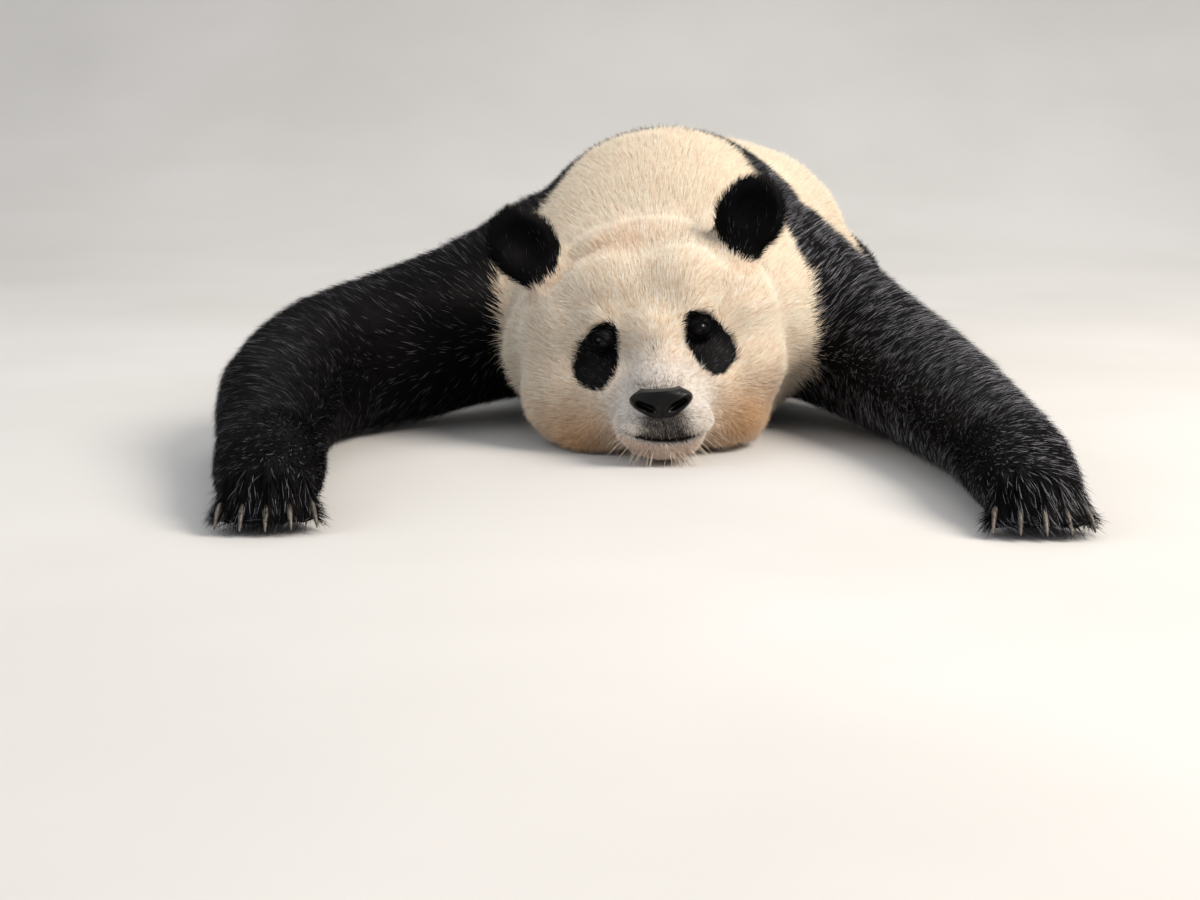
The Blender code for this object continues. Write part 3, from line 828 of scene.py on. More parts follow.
class Tufts:
    """Every tuft's root, direction, size and colour, one row for each."""

    def __init__(self, skin, eyes, surface, lie, solids, markings, random):
        self.random = random
        self.pick_roots(skin, eyes, surface, solids)
        self.normal = unit(self.at_root(skin.normals))
        lie = self.at_root(lie)
        self.lie = unit(lie - self.normal * dot(lie, self.normal)[:, None])
        self.colour, self.black = markings.paint(self.root, STRAY)
        self.likely_dark = markings.speckled(self.root)
        self.speckle = self.likely_dark > random.random(len(self.root))
        self.dark = self.black | self.speckle
        self.size_up()
        self.build()
        self.shade()

    def at_root(self, values):
        """A value of the skin's vertices at each root."""
        return (values[self.corners] * self.weights[:, :, None]).sum(axis=1)

    def pick_roots(self, skin, eyes, surface, solids):
        """Spreads the roots over the skin, each region at its own spacing."""
        triangles, loops_uv = surface
        corner = skin.points[triangles]
        cross = np.cross(corner[:, 1] - corner[:, 0], corner[:, 2] - corner[:, 0])
        area = np.linalg.norm(cross, axis=1) / 2
        centre = corner.mean(axis=1)
        regions = solids.nearest(centre)[1]
        local = HEAD.local(centre)
        spacing = coat_value(SPACING, local, regions)
        resting = (centre[:, 2] < 0.012) & (cross[:, 2] < -0.7 * area * 2)
        bare = resting | bare_face(local, eyes)
        count = np.where(bare, 0, area / spacing**2)
        wanted = (count * len(TUFT_FACES)).sum()
        count *= min(1.0, COAT_TRIANGLES / wanted) * 1.0
        total = int(count.sum())
        steps = (np.arange(total) + self.random.random(total)) * (count.sum() / total)
        chosen = np.minimum(np.searchsorted(np.cumsum(count), steps), len(count) - 1)
        first, second = self.random.random((2, total))
        flip = first + second > 1
        first, second = np.where(flip, 1 - first, first), np.where(flip, 1 - second, second)
        self.weights = np.stack([1 - first - second, first, second], axis=1)
        self.corners = triangles[chosen]
        self.root = (skin.points[self.corners] * self.weights[:, :, None]).sum(axis=1)
        self.map_place = (loops_uv[chosen] * self.weights[:, :, None]).sum(axis=1)
        self.region = regions[chosen]
        self.local = HEAD.local(self.root)

    def size_up(self):
        """Length, width and lift of each tuft, uneven as in a real coat."""
        vary = self.random.normal(0, 1, (4, len(self.root)))
        unevenness = noise_at(self.root, 0.035, 2.2)
        self.length = coat_value(LENGTH, self.local, self.region)
        self.length *= np.clip(1 + 0.16 * vary[0] + 0.12 * unevenness, 0.5, 1.5)
        self.width = coat_value(WIDTH, self.local, self.region) * (1 + 0.18 * vary[1]).clip(0.6, 1.5)
        self.lift = coat_value(LIFT, self.local, self.region) + 6 * vary[2] + 4 * unevenness
        for side in (1, -1):
            near = fall(patch_share(self.local, side), 1.0, 1.25)
            self.length *= 1 + PATCH_HAIR * near
        on_head = self.region == FLESH.index("head")
        self.length *= 1 + EAR_HAIR * ((ear_share(self.local) < 1.5) & on_head)
        reach, distance, _ = near_toes(self.root)
        over_claw = rise(reach, 0.5, 1.0) * (distance < 0.010)
        self.length *= 1 + CLAW_HAIR * over_claw
        chin = fall(mouth_offset(self.local), -0.012, -0.006) * (self.local[:, 1] < 0.095)
        chin *= fall(np.abs(self.local[:, 0]), 0.040, 0.058)
        self.length *= 1 + CHIN_HAIR * chin
        under = on_head * fall(self.root[:, 2], 0.020, 0.070)
        self.lift += CHIN_LIFT * chin + UNDER_LIFT * under
        turn = np.radians(8 * vary[3] + 10 * noise_at(self.root, 0.060, 9.3))
        across = np.cross(self.normal, self.lie)
        self.lie = self.lie * np.cos(turn)[:, None] + across * np.sin(turn)[:, None]

    def gathered(self, tip):
        """Draws the tips of each lock together."""
        leaders = np.flatnonzero(self.random.random(len(tip)) < 1 / LOCK_SIZE)
        tree = KDTree(len(leaders))
        for number, row in enumerate(self.root[leaders].tolist()):
            tree.insert(row, number)
        tree.balance()
        nearest = leaders[[tree.find(row)[1] for row in self.root.tolist()]]
        self.leader = nearest
        clump = coat_value(CLUMP, self.local, self.region)
        pull = (clump * self.random.uniform(0.5, 1.4, len(tip)))[:, None]
        side = tip[nearest] - tip
        side -= self.lie * dot(side, self.lie)[:, None]
        return tip + side * pull

    def build(self):
        """All the corners of all the tufts, and the normals that they are shaded by."""
        roll = self.random.normal(0, 0.35, len(self.root))[:, None]
        across = np.cross(self.normal, self.lie)
        blade = across * np.cos(roll) + self.normal * np.sin(roll)
        lift = np.radians(np.clip(self.lift, 6, 65))[:, None]
        out = self.lie * np.cos(lift) + self.normal * np.sin(lift)
        tip = self.gathered(self.root + out * self.length[:, None])
        above = unit(np.cross(tip - self.root, blade))
        above *= np.sign(dot(above, self.normal))[:, None]
        width = self.width[:, None]
        root = self.root - self.normal * width * 0.8
        corners = [root - blade * width / 2, root + blade * width / 2, root + above * width * 0.5, tip]
        self.points = np.stack(corners, axis=1)
        self.points[:, :, 2] = np.maximum(self.points[:, :, 2], TIP_GAP)
        own = [unit(above - blade), unit(above + blade), above, above]
        own = np.stack(own, axis=1) * (1 - SOFTNESS)
        self.normals = unit(own + self.normal[:, None] * SOFTNESS)

    def shade(self):
        """Root and tip colours: roots darker, partly the hairs' own tan and partly painted shade in
        the depth of the coat; tips of pale hairs lighter with painted light, and some black tips a
        painted glint.
        """
        own, shared = self.random.normal(0, 1, (2, len(self.root)))
        vary = (LOCK_TONE * shared[self.leader] + (1 - LOCK_TONE) * own)[:, None]
        vary *= coat_value(TONE, self.local, self.region)[:, None]
        base = np.where(self.speckle[:, None], SPECKLE, self.colour)
        base = base * (1 - self.likely_dark[:, None] * MUZZLE_SHADE)
        dark = self.dark[:, None]
        base = base * (1 + vary * TONE_TINT)
        # Painted shade in the coat's depth: black roots four tenths darker, pale roots darker and
        # warmer, which is partly their own tan.
        low = np.where(dark, base * 0.6, base * ROOT_TAN_AND_PAINTED_SHADE)
        table = [PAINTED_GLINTS.get(name, PAINTED_GLINTS.get(stem(name), (0, 0))) for name in FLESH]
        share, strength = np.array(table)[self.region].T
        glinting_tip = self.black & (self.random.random(len(self.root)) < share)
        # Painted highlight: the colour of a glinting tip, scaled by its strength.
        glint_colour = PAINTED_GLINT * strength[:, None]
        # Tips of pale hairs: a tenth lighter as painted light, and partly back to cream, their own
        # paler tips.
        pale = mixed(base * 1.10, CREAM, np.full(len(base), PALE_TIPS))
        high = np.where(glinting_tip[:, None], glint_colour, np.where(dark, base, pale))
        self.colours = np.stack([low, low, low, high], axis=1).clip(0, 0.95)

    def mesh(self, name, rows):
        """One coat piece from some of the tufts."""
        count, each = len(rows), self.points.shape[1]
        indices = (TUFT_FACES[None] + (np.arange(count) * each)[:, None, None]).reshape(-1, 3)
        maps = (self.map_place[rows][:, None] + TUFT_MAP[None]).reshape(-1, 2)
        mesh = mesh_from(name, self.points[rows].reshape(-1, 3), indices)
        set_map(mesh, maps[indices.reshape(-1)])
        set_colours(mesh, self.colours[rows].reshape(-1, 3))
        mesh.normals_split_custom_set_from_vertices(self.normals[rows].reshape(-1, 3))
        return mesh


def bare_face(local, eyes):
    """The nose's seat, the mouth's line and the eyes' slits and lid rims grow no hair."""
    x, y, z = local.T
    bare = (seat_share(x, z) < 0.66) & (y < 0.035)
    bare |= (np.abs(mouth_offset(local)) < 0.0011) & (np.abs(x) < 0.030) & (y < 0.085)
    for eye in eyes:
        across, upward, height = eye.plane(local)
        bare |= (eye.slit_share(across, upward) < 1.30) & (np.abs(height) < 0.020)
    return bare


def mesh_from(name, points, triangles):
    """A smooth-shaded mesh from arrays."""
    mesh = bpy.data.meshes.new(name)
    mesh.vertices.add(len(points))
    mesh.vertices.foreach_set("co", points.astype(np.float32).ravel())
    mesh.loops.add(triangles.size)
    mesh.loops.foreach_set("vertex_index", triangles.astype(np.int32).ravel())
    mesh.polygons.add(len(triangles))
    mesh.polygons.foreach_set("loop_start", np.arange(0, triangles.size, 3, dtype=np.int32))
    mesh.update(calc_edges=True)
    mesh.shade_smooth()
    return mesh


def set_map(mesh, places):
    """Writes the OFBake map, one place for each loop."""
    layer = mesh.uv_layers.new(name="OFBake")
    layer.uv.foreach_set("vector", places.astype(np.float32).ravel())


def set_colours(mesh, colours):
    """Writes each point's linear colour."""
    layer = mesh.color_attributes.new("coat", "FLOAT_COLOR", "POINT")
    full = np.concatenate([colours, np.ones((len(colours), 1))], axis=1)
    layer.data.foreach_set("color", full.astype(np.float32).ravel())


# ------------------------------------------------------------------ materials
def new_material(name):
    """A material with its shader and a function that adds nodes to it."""
    material = bpy.data.materials.new(name)
    material.use_nodes = True
    tree = material.node_tree
    shader = tree.nodes["Principled BSDF"]

    def add(kind, inputs=None, **settings):
        node = tree.nodes.new(kind)
        for key, value in settings.items():
            setattr(node, key, value)
        for key, value in (inputs or {}).items():
            if isinstance(value, bpy.types.NodeSocket):
                tree.links.new(value, node.inputs[key])
            else:
                node.inputs[key].default_value = value
        return node

    return material, shader, add


def link(shader, socket, output):
    shader.id_data.links.new(output, shader.inputs[socket])


def grain(add, scale, detail=3.0, stretch=(1, 1, 1)):
    """Noise over the object's own coordinates."""
    place = add("ShaderNodeTexCoord").outputs["Object"]
    mapping = add("ShaderNodeMapping", {"Vector": place, "Scale": stretch})
    return add("ShaderNodeTexNoise", {"Vector": mapping.outputs[0], "Scale": scale, "Detail": detail})


def ramp(add, value, stops):
    """A colour ramp with the given places and colours."""
    node = add("ShaderNodeValToRGB", {"Fac": value})
    elements = node.color_ramp.elements
    while len(elements) < len(stops):
        elements.new(0.5)
    for element, (place, colour) in zip(elements, stops):
        element.position = place
        element.color = (*colour, 1)
    return node.outputs["Color"]


def grey(value):
    return (value, value, value)


def painted(add, shade):
    """The mesh's colours, painted shade and glints included, multiplied by a given tone."""
    own = add("ShaderNodeVertexColor", layer_name="coat").outputs["Color"]
    mix = add("ShaderNodeMix", {"Factor": 1.0}, data_type="RGBA", blend_type="MULTIPLY")
    mix.id_data.links.new(own, mix.inputs["A"])
    mix.id_data.links.new(shade, mix.inputs["B"])
    return mix.outputs["Result"]


def uneven(add, shader, scale, low, high):
    """Roughness that wanders between two values."""
    rough = ramp(add, grain(add, scale).outputs["Fac"], [(0.3, grey(low)), (0.7, grey(high))])
    link(shader, "Roughness", rough)


def bumps(add, shader, height, strength, distance, **settings):
    """Relief from a height, which is distance deep at full strength."""
    inputs = {"Height": height, "Strength": strength, "Distance": distance}
    link(shader, "Normal", add("ShaderNodeBump", inputs, **settings).outputs["Normal"])


# Least and most roughness, specular, sheen and the sheen's tint.
HAIR_LOOKS = {
    "cream_coat": (0.66, 0.82, 0.20, 0.20, (1.0, 0.97, 0.92)),
    "black_coat": (0.46, 0.62, 0.09, 0.0, (1.0, 1.0, 1.0)),
    "whisker": (0.40, 0.55, 0.40, 0.10, (1.0, 1.0, 1.0)),
    "skin": (0.70, 0.86, 0.12, 0.0, (1.0, 1.0, 1.0)),
}


def hair_material(name):
    """Hair: each tuft's colour, with its painted shade and painted glints, broken by fine noise, with
    a soft sheen.
    """
    material, shader, add = new_material(name)
    low, high, specular, sheen, tint = HAIR_LOOKS[name]
    fine = grain(add, 260.0, 2.0).outputs["Fac"]
    shade = ramp(add, fine, [(0.30, grey(0.86)), (0.70, grey(1.0))])
    link(shader, "Base Color", painted(add, shade))
    uneven(add, shader, 90.0, low, high)
    shader.inputs["Sheen Weight"].default_value = sheen
    shader.inputs["Sheen Roughness"].default_value = 0.45
    shader.inputs["Sheen Tint"].default_value = (*tint, 1)
    shader.inputs["Specular IOR Level"].default_value = specular
    if name == "skin":
        bumps(add, shader, grain(add, 600.0, 2.0).outputs["Fac"], 0.5, 0.0012)
    return material


def nose_material():
    """Black leathery skin of small damp bumps, with the nostrils' painted shade from the mesh's
    colours.
    """
    material, shader, add = new_material("nose_skin")
    place = add("ShaderNodeTexCoord").outputs["Object"]
    cells = add("ShaderNodeTexVoronoi", {"Vector": place, "Scale": 620.0}, feature="F1")
    tones = [(0.30, linear(4, 3, 3)), (0.72, linear(10, 9, 9))]
    patches = ramp(add, grain(add, 120.0).outputs["Fac"], tones)
    link(shader, "Base Color", painted(add, patches))
    uneven(add, shader, 300.0, 0.26, 0.42)
    bumps(add, shader, cells.outputs["Distance"], 0.35, 0.0006, invert=True)
    shader.inputs["Specular IOR Level"].default_value = 0.20
    return material


def eye_material(radius):
    """A dark wet eye: pupil, brown iris and a rim of dark white, by distance from its axis."""
    material, shader, add = new_material("eye")
    place = add("ShaderNodeTexCoord").outputs["Object"]
    parts = add("ShaderNodeSeparateXYZ", {"Vector": place})
    flat = add("ShaderNodeCombineXYZ", {"X": parts.outputs["X"], "Y": parts.outputs["Y"]})
    reach = add("ShaderNodeVectorMath", {"Vector": flat.outputs[0]}, operation="LENGTH")
    share = add("ShaderNodeMath", {0: reach.outputs["Value"], 1: 1 / radius}, operation="MULTIPLY")
    fibres = grain(add, 900.0, 4.0)
    ragged = add("ShaderNodeMath", {0: fibres.outputs["Fac"], 1: 0.10}, operation="MULTIPLY")
    total = add("ShaderNodeMath", {0: share.outputs[0], 1: ragged.outputs[0]}, operation="ADD")
    stops = [
        (0.34, linear(5, 4, 5)),
        (0.42, linear(15, 10, 8)),
        (0.62, linear(22, 14, 10)),
        (0.70, linear(8, 6, 6)),
        (0.80, linear(30, 25, 24)),
    ]
    link(shader, "Base Color", ramp(add, total.outputs[0], stops))
    uneven(add, shader, 200.0, 0.04, 0.09)
    shader.inputs["Specular IOR Level"].default_value = 0.18
    return material


def claw_material():
    """Ivory horn with fine lengthwise streaks."""
    material, shader, add = new_material("claw")
    streaks = grain(add, 70.0, 4.0, (6, 1, 6))
    tones = [(0.25, linear(60, 54, 48)), (0.5, linear(104, 96, 86)), (0.8, linear(146, 136, 122))]
    link(shader, "Base Color", ramp(add, streaks.outputs["Fac"], tones))
    rough = ramp(add, streaks.outputs["Fac"], [(0.3, grey(0.30)), (0.7, grey(0.46))])
    link(shader, "Roughness", rough)
    bumps(add, shader, streaks.outputs["Fac"], 0.25, 0.0004)
    shader.inputs["Subsurface Weight"].default_value = 0.12
    shader.inputs["Subsurface Radius"].default_value = (0.004, 0.003, 0.002)
    return material


# ------------------------------------------------------------------ pieces
def finish_piece(piece, slot, material, *replaced):
    """Gives a piece its material and the body that it rides on; its slot is not used."""
    piece.data.materials.append(material)
    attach(piece, "root")
    if replaced:
        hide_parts(*replaced)
    return piece


def skin_surface(mesh):
    """The skin's triangles, and the map place of each of their corners."""
    mesh.calc_loop_triangles()
    count = len(mesh.loop_triangles)
    triangles = np.empty(count * 3, np.int32)
    loops = np.empty(count * 3, np.int32)
    mesh.loop_triangles.foreach_get("vertices", triangles)
    mesh.loop_triangles.foreach_get("loops", loops)
    places = np.empty(len(mesh.loops) * 2, np.float32)
    mesh.uv_layers["OFBake"].uv.foreach_get("vector", places)
    places = places.reshape(-1, 2)[loops].reshape(-1, 3, 2)
    return triangles.reshape(-1, 3), places


def unwrap(piece):
    """Unfolds the skin into islands by the way that its faces look."""
    piece.data.uv_layers.new(name="OFBake")
    bpy.context.view_layer.objects.active = piece
    piece.select_set(True)
    bpy.ops.object.mode_set(mode="EDIT")
    bpy.ops.mesh.select_all(action="SELECT")
    bpy.ops.uv.smart_project(angle_limit=math.radians(66), island_margin=0.002)
    bpy.ops.object.mode_set(mode="OBJECT")
    piece.select_set(False)


def add_skin(skin, markings):
    """The skin as a piece, in the coat's colours darkened as painted shade of the coat's depth."""
    skin.write()
    mesh = bpy.data.meshes.new("skin")
    skin.bm.to_mesh(mesh)
    mesh.shade_smooth()
    piece = new_object("skin", mesh)
    unwrap(piece)
    colour, black = markings.paint(skin.points, 0.0)
    # Painted shade: where it shows between the tufts, the skin is a fifth darker than pale hair and
    # three tenths darker than black.
    pale = mixed(colour * 0.80, SPECKLE, markings.speckled(skin.points) * 0.8)
    colour = np.where(black[:, None], colour * 0.7, pale)
    local = HEAD.local(skin.points)
    lips = np.exp(-((mouth_offset(local) / 0.0020) ** 4)) * fall(np.abs(local[:, 0]), 0.036, 0.050)
    colour = mixed(colour, LIPS, lips * (local[:, 1] < 0.085))
    set_colours(mesh, colour)
    return finish_piece(piece, "cream_fur", hair_material("skin"), *FLESH)


def add_coat(tufts):
    """The coat, with pale and dark hairs apart, in pieces that stay small."""
    for kind in ("cream", "black"):
        material = hair_material(f"{kind}_coat")
        rows = np.flatnonzero(tufts.dark == (kind == "black"))
        parts = math.ceil(len(rows) * len(TUFT_FACES) / PIECE_TRIANGLES)
        for number, some in enumerate(np.array_split(rows, parts)):
            name = f"coat_{kind}_{number + 1}"
            piece = new_object(name, tufts.mesh(name, some))
            finish_piece(piece, f"{kind}_fur", material)


EYE_INSET = 0.0003  # how much smaller the ball is than its solid
CORNEA_RISE, CORNEA_WIDTH = 0.0009, 0.0065


def add_eyes(eyes):
    """Each eyeball with a slightly domed cornea, looking out of its slit."""
    for eye in eyes:
        bm = bmesh.new()
        bmesh.ops.create_uvsphere(bm, u_segments=48, v_segments=32, radius=eye.radius - EYE_INSET)
        for vertex in bm.verts:
            flat = math.hypot(vertex.co.x, vertex.co.y)
            if vertex.co.z > 0:
                vertex.co.z += CORNEA_RISE * bell(flat / CORNEA_WIDTH)
        side = "left" if eye.side == 1 else "right"
        piece = new_object(f"eyeball_{side}", mesh_of(bm, f"eyeball_{side}"))
        axes = Matrix([HEAD.direction(a) for a in (eye.across, eye.upward, eye.forward)])
        place = Matrix.Translation(Vector(HEAD.world(eye.centre)))
        piece.matrix_world = place @ axes.transposed().to_4x4()
        finish_piece(piece, "eye", eye_material(eye.radius), f"eye_{side}")


# The nostrils: their middle on the pad, how they slant, their half length, how deep they and the
# groove between them are, and how high their rims are.
NOSE_COLUMNS, NOSE_ROWS = 120, 72
NOSTRIL = (0.0172, -0.0016)
NOSTRIL_TURN = math.radians(26)
NOSTRIL_HALF = 0.0108
NOSTRIL_DEPTH, GROOVE_DEPTH, NOSTRIL_RIM = 0.0085, 0.0014, 0.0014


def nose_point(across, height):
    """A place on the pad's front: across from -1 to 1 and height from -1 to 1."""
    above = max(0.0, (height - 0.3) / 0.7)
    below = max(0.0, (0.3 - height) / 1.3)
    half = NOSE_HALF[0] * (1 - 0.42 * above**2 - 0.70 * below**2)
    x, z = across * half, height * NOSE_HALF[1]
    y = 0.0050 * across**2 + 0.0030 * abs(across) ** 4
    y += 0.0085 * max(0.0, height - 0.35) ** 2 + 0.0030 * max(0.0, -height) ** 2
    y += 0.0090 * (max(0.0, abs(across) - 0.86) / 0.14) ** 2
    y += 0.0080 * (max(0.0, abs(height) - 0.86) / 0.14) ** 2
    return x, y, z


def nostril_depth(x, z):
    """How far a place of the pad is sunk by the nostrils and the groove between them."""
    outward, upward = abs(x) - NOSTRIL[0], z - NOSTRIL[1]
    along = outward * math.cos(NOSTRIL_TURN) + upward * math.sin(NOSTRIL_TURN)
    across = -outward * math.sin(NOSTRIL_TURN) + upward * math.cos(NOSTRIL_TURN)
    width = 0.0029 + 0.0010 * bell((along + 0.004) / 0.004)
    hole = math.exp(-((along / NOSTRIL_HALF) ** 4) - (across / width) ** 2)
    groove = bell(x / 0.0011) * max(0.0, min(1.0, (0.002 - z) / 0.010))
    rim = math.exp(-((along / 0.0110) ** 4) - ((across - 0.0052) / 0.0022) ** 2)
    return NOSTRIL_DEPTH * hole + GROOVE_DEPTH * groove - NOSTRIL_RIM * rim


def add_nose():
    """The pad: a grid bent over the muzzle's end, with slanting nostrils darkened inside as painted
    shade, closed behind.
    """
    bm = bmesh.new()
    grid, depths = [], []
    for row in range(NOSE_ROWS + 1):
        line = []
        for column in range(NOSE_COLUMNS + 1):
            x, y, z = nose_point(2 * column / NOSE_COLUMNS - 1, 2 * row / NOSE_ROWS - 1)
            depths.append(nostril_depth(x, z))
            line.append(bm.verts.new((x, y + depths[-1], z)))
        grid.append(line)
    for row in range(NOSE_ROWS):
        for column in range(NOSE_COLUMNS):
            a, b = grid[row][column], grid[row][column + 1]
            bm.faces.new((a, b, grid[row + 1][column + 1], grid[row + 1][column]))
    border = [edge for edge in bm.edges if edge.is_boundary]
    skirt = bmesh.ops.extrude_edge_only(bm, edges=border)["geom"]
    skirt = [item for item in skirt if isinstance(item, bmesh.types.BMVert)]
    for vertex in skirt:
        vertex.co = Vector((vertex.co.x * 0.92, vertex.co.y + 0.009, vertex.co.z * 0.90))
    bmesh.ops.holes_fill(bm, edges=[edge for edge in bm.edges if edge.is_boundary])
    bmesh.ops.triangulate(bm, faces=[face for face in bm.faces if len(face.verts) > 4])
    bmesh.ops.recalc_face_normals(bm, faces=bm.faces)
    mesh = mesh_of(bm, "nose_pad")
    # Painted shade: the nostrils' hollows are darkened by their depth.
    nostril_painted_shade = np.ones(len(mesh.vertices))
    nostril_painted_shade[: len(depths)] = 1 - 0.96 * rise(np.array(depths), 0.0015, 0.0060)
    set_colours(mesh, np.repeat(nostril_painted_shade[:, None], 3, axis=1))
    piece = new_object("nose_pad", mesh)
    piece.matrix_world = HEAD.matrix() @ Matrix.Rotation(NOSE_LEVEL, 4, "Y")
    finish_piece(piece, "nose_skin", nose_material(), "nose")


def add_claws():
    """Each claw's own solid, rounded by subdivision."""
    material = claw_material()
    for node in sorted(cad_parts):
        if not node.startswith("claw_"):
            continue
        bm = swollen(node, 0.0004)
        bmesh.ops.join_triangles(
            bm, faces=bm.faces, angle_face_threshold=0.7, angle_shape_threshold=3.0
        )
        piece = new_object(f"horn_{node}", mesh_of(bm, f"horn_{node}"))
        rounded = piece.modifiers.new("Round", "SUBSURF")
        rounded.levels = rounded.render_levels = 2
        finish_piece(piece, "claw", material, node)


HAIR_STEPS = 6
BRISTLE_WIDTH, BROW_WIDTH = 0.00070, 0.00045
LIP_HAIRS, CHIN_HAIRS, BROW_HAIRS = 16, 46, 3  # on each side
PALE_HAIR, DARK_HAIR = linear(240, 224, 200), linear(84, 64, 48)


def hair_mesh(hairs):
    """Single stiff hairs: three-sided tapering tubes, each along its own curve."""
    points, faces, colours = [], [], []
    for root, direction, droop, length, width, colour in hairs:
        start = len(points)
        side = direction.cross(Vector((0, 0, 1))).normalized()
        above = side.cross(direction)
        for step in range(HAIR_STEPS):
            share = step / HAIR_STEPS
            centre = root + direction * length * share + droop * length * share**2
            for corner in range(3):
                angle = corner * math.tau / 3
                offset = side * math.cos(angle) + above * math.sin(angle)
                points.append(centre + offset * width * (1 - share) / 2)
                colours.append(colour)
        points.append(root + (direction + droop) * length)
        colours.append(colour)
        for step in range(HAIR_STEPS - 1):
            for corner in range(3):
                a, b = start + 3 * step + corner, start + 3 * step + (corner + 1) % 3
                faces += [(a, b, b + 3), (a, b + 3, a + 3)]
        last = start + 3 * (HAIR_STEPS - 1)
        faces += [(last + c, last + (c + 1) % 3, last + 3) for c in range(3)]
        faces.append((start + 2, start + 1, start))
    return np.array(points, float), np.array(faces), np.array(colours, float)


def whisker(skin_tree, random, x, z, pointing, droop, length, width, colour):
    """One hair that grows from a place on the face."""
    root = on_face(skin_tree, x, z) + np.array([0, 0.002, 0])
    direction = unit(np.array(pointing) + random.normal(0, 0.12, 3))
    sag = np.array([0, 0, -droop]) + random.normal(0, 0.06, 3)
    return (
        Vector(HEAD.world(root)),
        Vector(HEAD.direction(direction)),
        Vector(HEAD.direction(sag)),
        length * random.uniform(0.7, 1.2),
        width,
        colour,
    )


def add_whiskers(skin, random):
    """Short bristles beside the lips and on the chin, and a few long hairs over each eye."""
    tree = BVHTree.FromBMesh(skin.bm)
    hairs = []
    for side in (1, -1):
        for number in range(LIP_HAIRS):
            x = side * random.uniform(0.026, 0.052)
            z = random.uniform(-0.040, -0.012)
            colour = PALE_HAIR if number % 3 else DARK_HAIR
            pointing = (side * 0.9, -0.25, -0.2)
            hairs.append(whisker(tree, random, x, z, pointing, 0.25, 0.022, BROW_WIDTH, colour))
        for number in range(CHIN_HAIRS):
            x = side * random.uniform(0.001, 0.054)
            z = mouth_height(x) - random.uniform(0.009, 0.020)
            pointing = (side * (0.10 + 18 * abs(x)), -0.40, -0.70)
            colour = PALE_HAIR if number % 5 else DARK_HAIR
            hairs.append(whisker(tree, random, x, z, pointing, 0.10, 0.026, BRISTLE_WIDTH, colour))
        for number in range(BROW_HAIRS):
            x, z = side * (0.040 + 0.005 * number), 0.088 + random.uniform(-0.003, 0.003)
            pointing = (side * (0.30 + 0.20 * number), -0.42, 0.85)
            hairs.append(whisker(tree, random, x, z, pointing, -0.05, 0.045, BROW_WIDTH, DARK_HAIR))
    points, faces, colours = hair_mesh(hairs)
    points[:, 2] = np.maximum(points[:, 2], WHISKER_GAP)
    mesh = mesh_from("whiskers", points, faces)
    set_colours(mesh, colours)
    piece = new_object("whiskers", mesh)
    finish_piece(piece, "cream_fur", hair_material("whisker"))


# ------------------------------------------------------------------ the set
COVE_START, COVE_RADIUS, COVE_HEIGHT = 1.6, 3.0, 7.0
COVE_WIDTH = 12.0
COVE_STEPS = 24


def add_floor():
    """A pale floor that curves up behind the object as a plain backdrop."""
    turns = [math.pi / 2 * step / COVE_STEPS for step in range(COVE_STEPS + 1)]
    profile = [(-COVE_WIDTH, 0.0)]
    profile += [
        (COVE_START + COVE_RADIUS * math.sin(turn), COVE_RADIUS * (1 - math.cos(turn)))
        for turn in turns
    ]
    profile.append((COVE_START + COVE_RADIUS, COVE_HEIGHT))
    bm = bmesh.new()
    lines = [[bm.verts.new((x, y, z)) for y, z in profile] for x in (-COVE_WIDTH, COVE_WIDTH)]
    for step in range(len(profile) - 1):
        left, right = lines
        bm.faces.new((left[step], right[step], right[step + 1], left[step + 1]))
    floor = new_object("floor", mesh_of(bm, "floor"))
    material, shader, add = new_material("floor")
    tones = [(0.35, linear(204, 202, 198)), (0.65, linear(212, 210, 207))]
    link(shader, "Base Color", ramp(add, grain(add, 1.5).outputs["Fac"], tones))
    shader.inputs["Roughness"].default_value = 0.85
    floor.data.materials.append(material)


def add_light(name, place, target, size, power, colour):
    light = bpy.data.lights.new(name, "AREA")
    light.shape = "DISK"
    light.size = size
    light.energy = power
    light.color = colour
    lamp = new_object(name, light)
    lamp.location = place
    lamp.rotation_mode = "QUATERNION"
    lamp.rotation_quaternion = (Vector(target) - Vector(place)).to_track_quat("-Z", "Y")


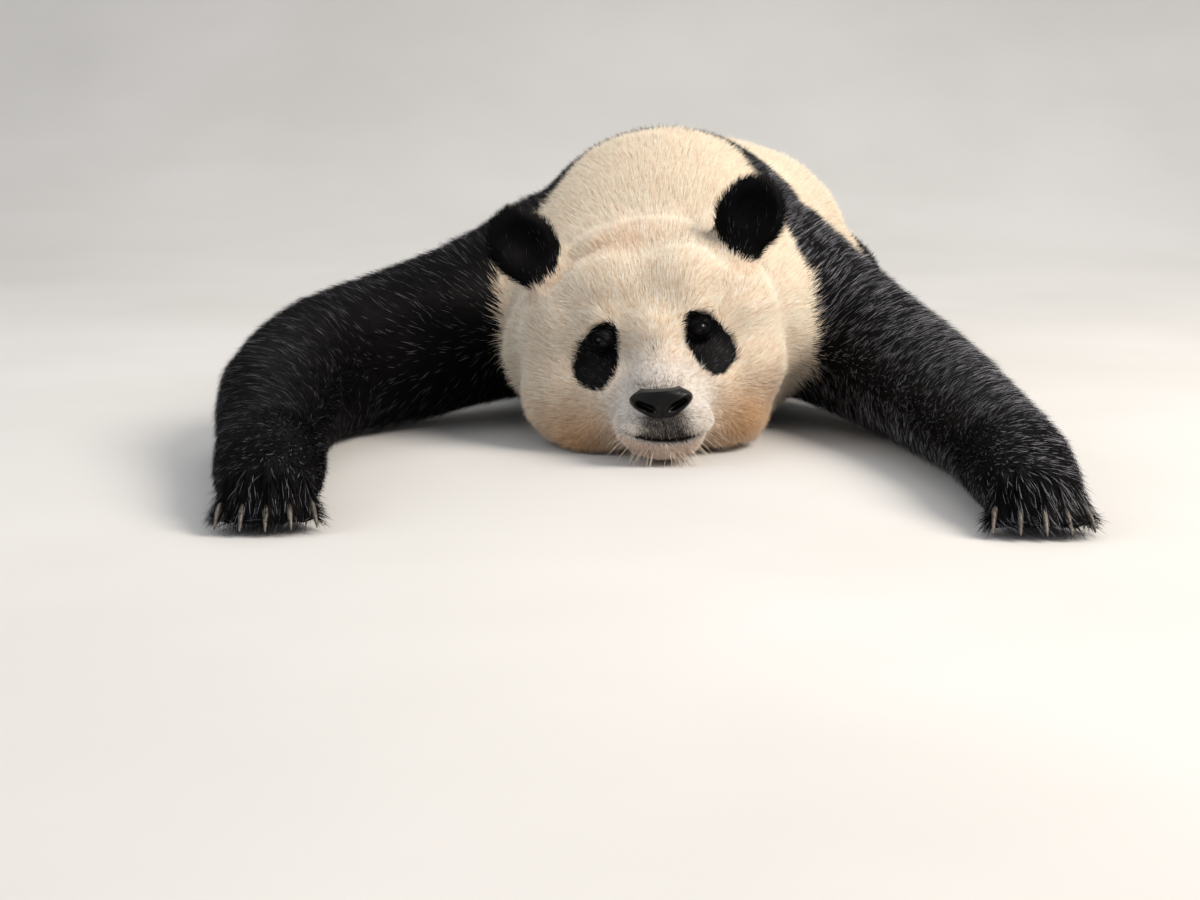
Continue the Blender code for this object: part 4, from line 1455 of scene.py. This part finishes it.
def add_lights():
    """Soft daylight from above and the panda's left, with a cool fill from the other side."""
    head = HEAD.world([0, 0.15, 0.05])
    add_light("key", (2.3, -1.5, 2.5), head, 2.0, 140, (1.0, 0.92, 0.83))
    add_light("fill", (-2.4, -1.4, 1.6), head, 2.2, 20, (0.90, 0.95, 1.0))
    add_light("rim", (0.2, 1.9, 2.6), (0, 0, 0.2), 2.0, 25, (1.0, 0.97, 0.92))
    world = bpy.data.worlds.new("studio")
    world.use_nodes = True
    background = world.node_tree.nodes["Background"]
    background.inputs["Color"].default_value = (0.93, 0.95, 1.0, 1)
    background.inputs["Strength"].default_value = 0.60
    bpy.context.scene.world = world


# The camera's distance from the nose tip, how steeply it looks down there, its lens, and how far
# the nose tip lies right of and above the picture's middle, as shares of the picture's width.
CAMERA_DISTANCE = 2.5
CAMERA_PITCH = math.radians(8.5)
SENSOR, LENS = 36.0, 71.43
NOSE_RIGHT, NOSE_ABOVE = 0.050833, 0.039167


def add_camera():
    """A camera low before the head, which looks a little down."""
    low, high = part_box("nose")
    tip = Vector(((low.x + high.x) / 2, low.y, (low.z + high.z) / 2))
    yaw = math.atan(NOSE_RIGHT * SENSOR / LENS)
    pitch = CAMERA_PITCH + math.atan(NOSE_ABOVE * SENSOR / LENS)
    camera = bpy.data.cameras.new("camera")
    camera.sensor_width = SENSOR
    camera.lens = LENS
    stand = new_object("camera", camera)
    toward = Vector((0, -math.cos(CAMERA_PITCH), math.sin(CAMERA_PITCH)))
    stand.location = tip + toward * CAMERA_DISTANCE
    stand.rotation_euler = (math.pi / 2 - pitch, 0, yaw)
    bpy.context.scene.camera = stand


def main():
    bpy.context.scene.view_settings.view_transform = "Standard"
    add_camera()
    random = np.random.default_rng(SEED)
    solids = Solids()
    skin, eyes = make_skin(solids)
    regions = solids.nearest(skin.points)[1]
    lie = lie_of_coat(skin, regions)
    markings = Markings(solids, random)
    piece = add_skin(skin, markings)
    add_coat(Tufts(skin, eyes, skin_surface(piece.data), lie, solids, markings, random))
    add_eyes(eyes)
    add_nose()
    add_claws()
    add_whiskers(skin, random)
    add_floor()
    add_lights()


main()
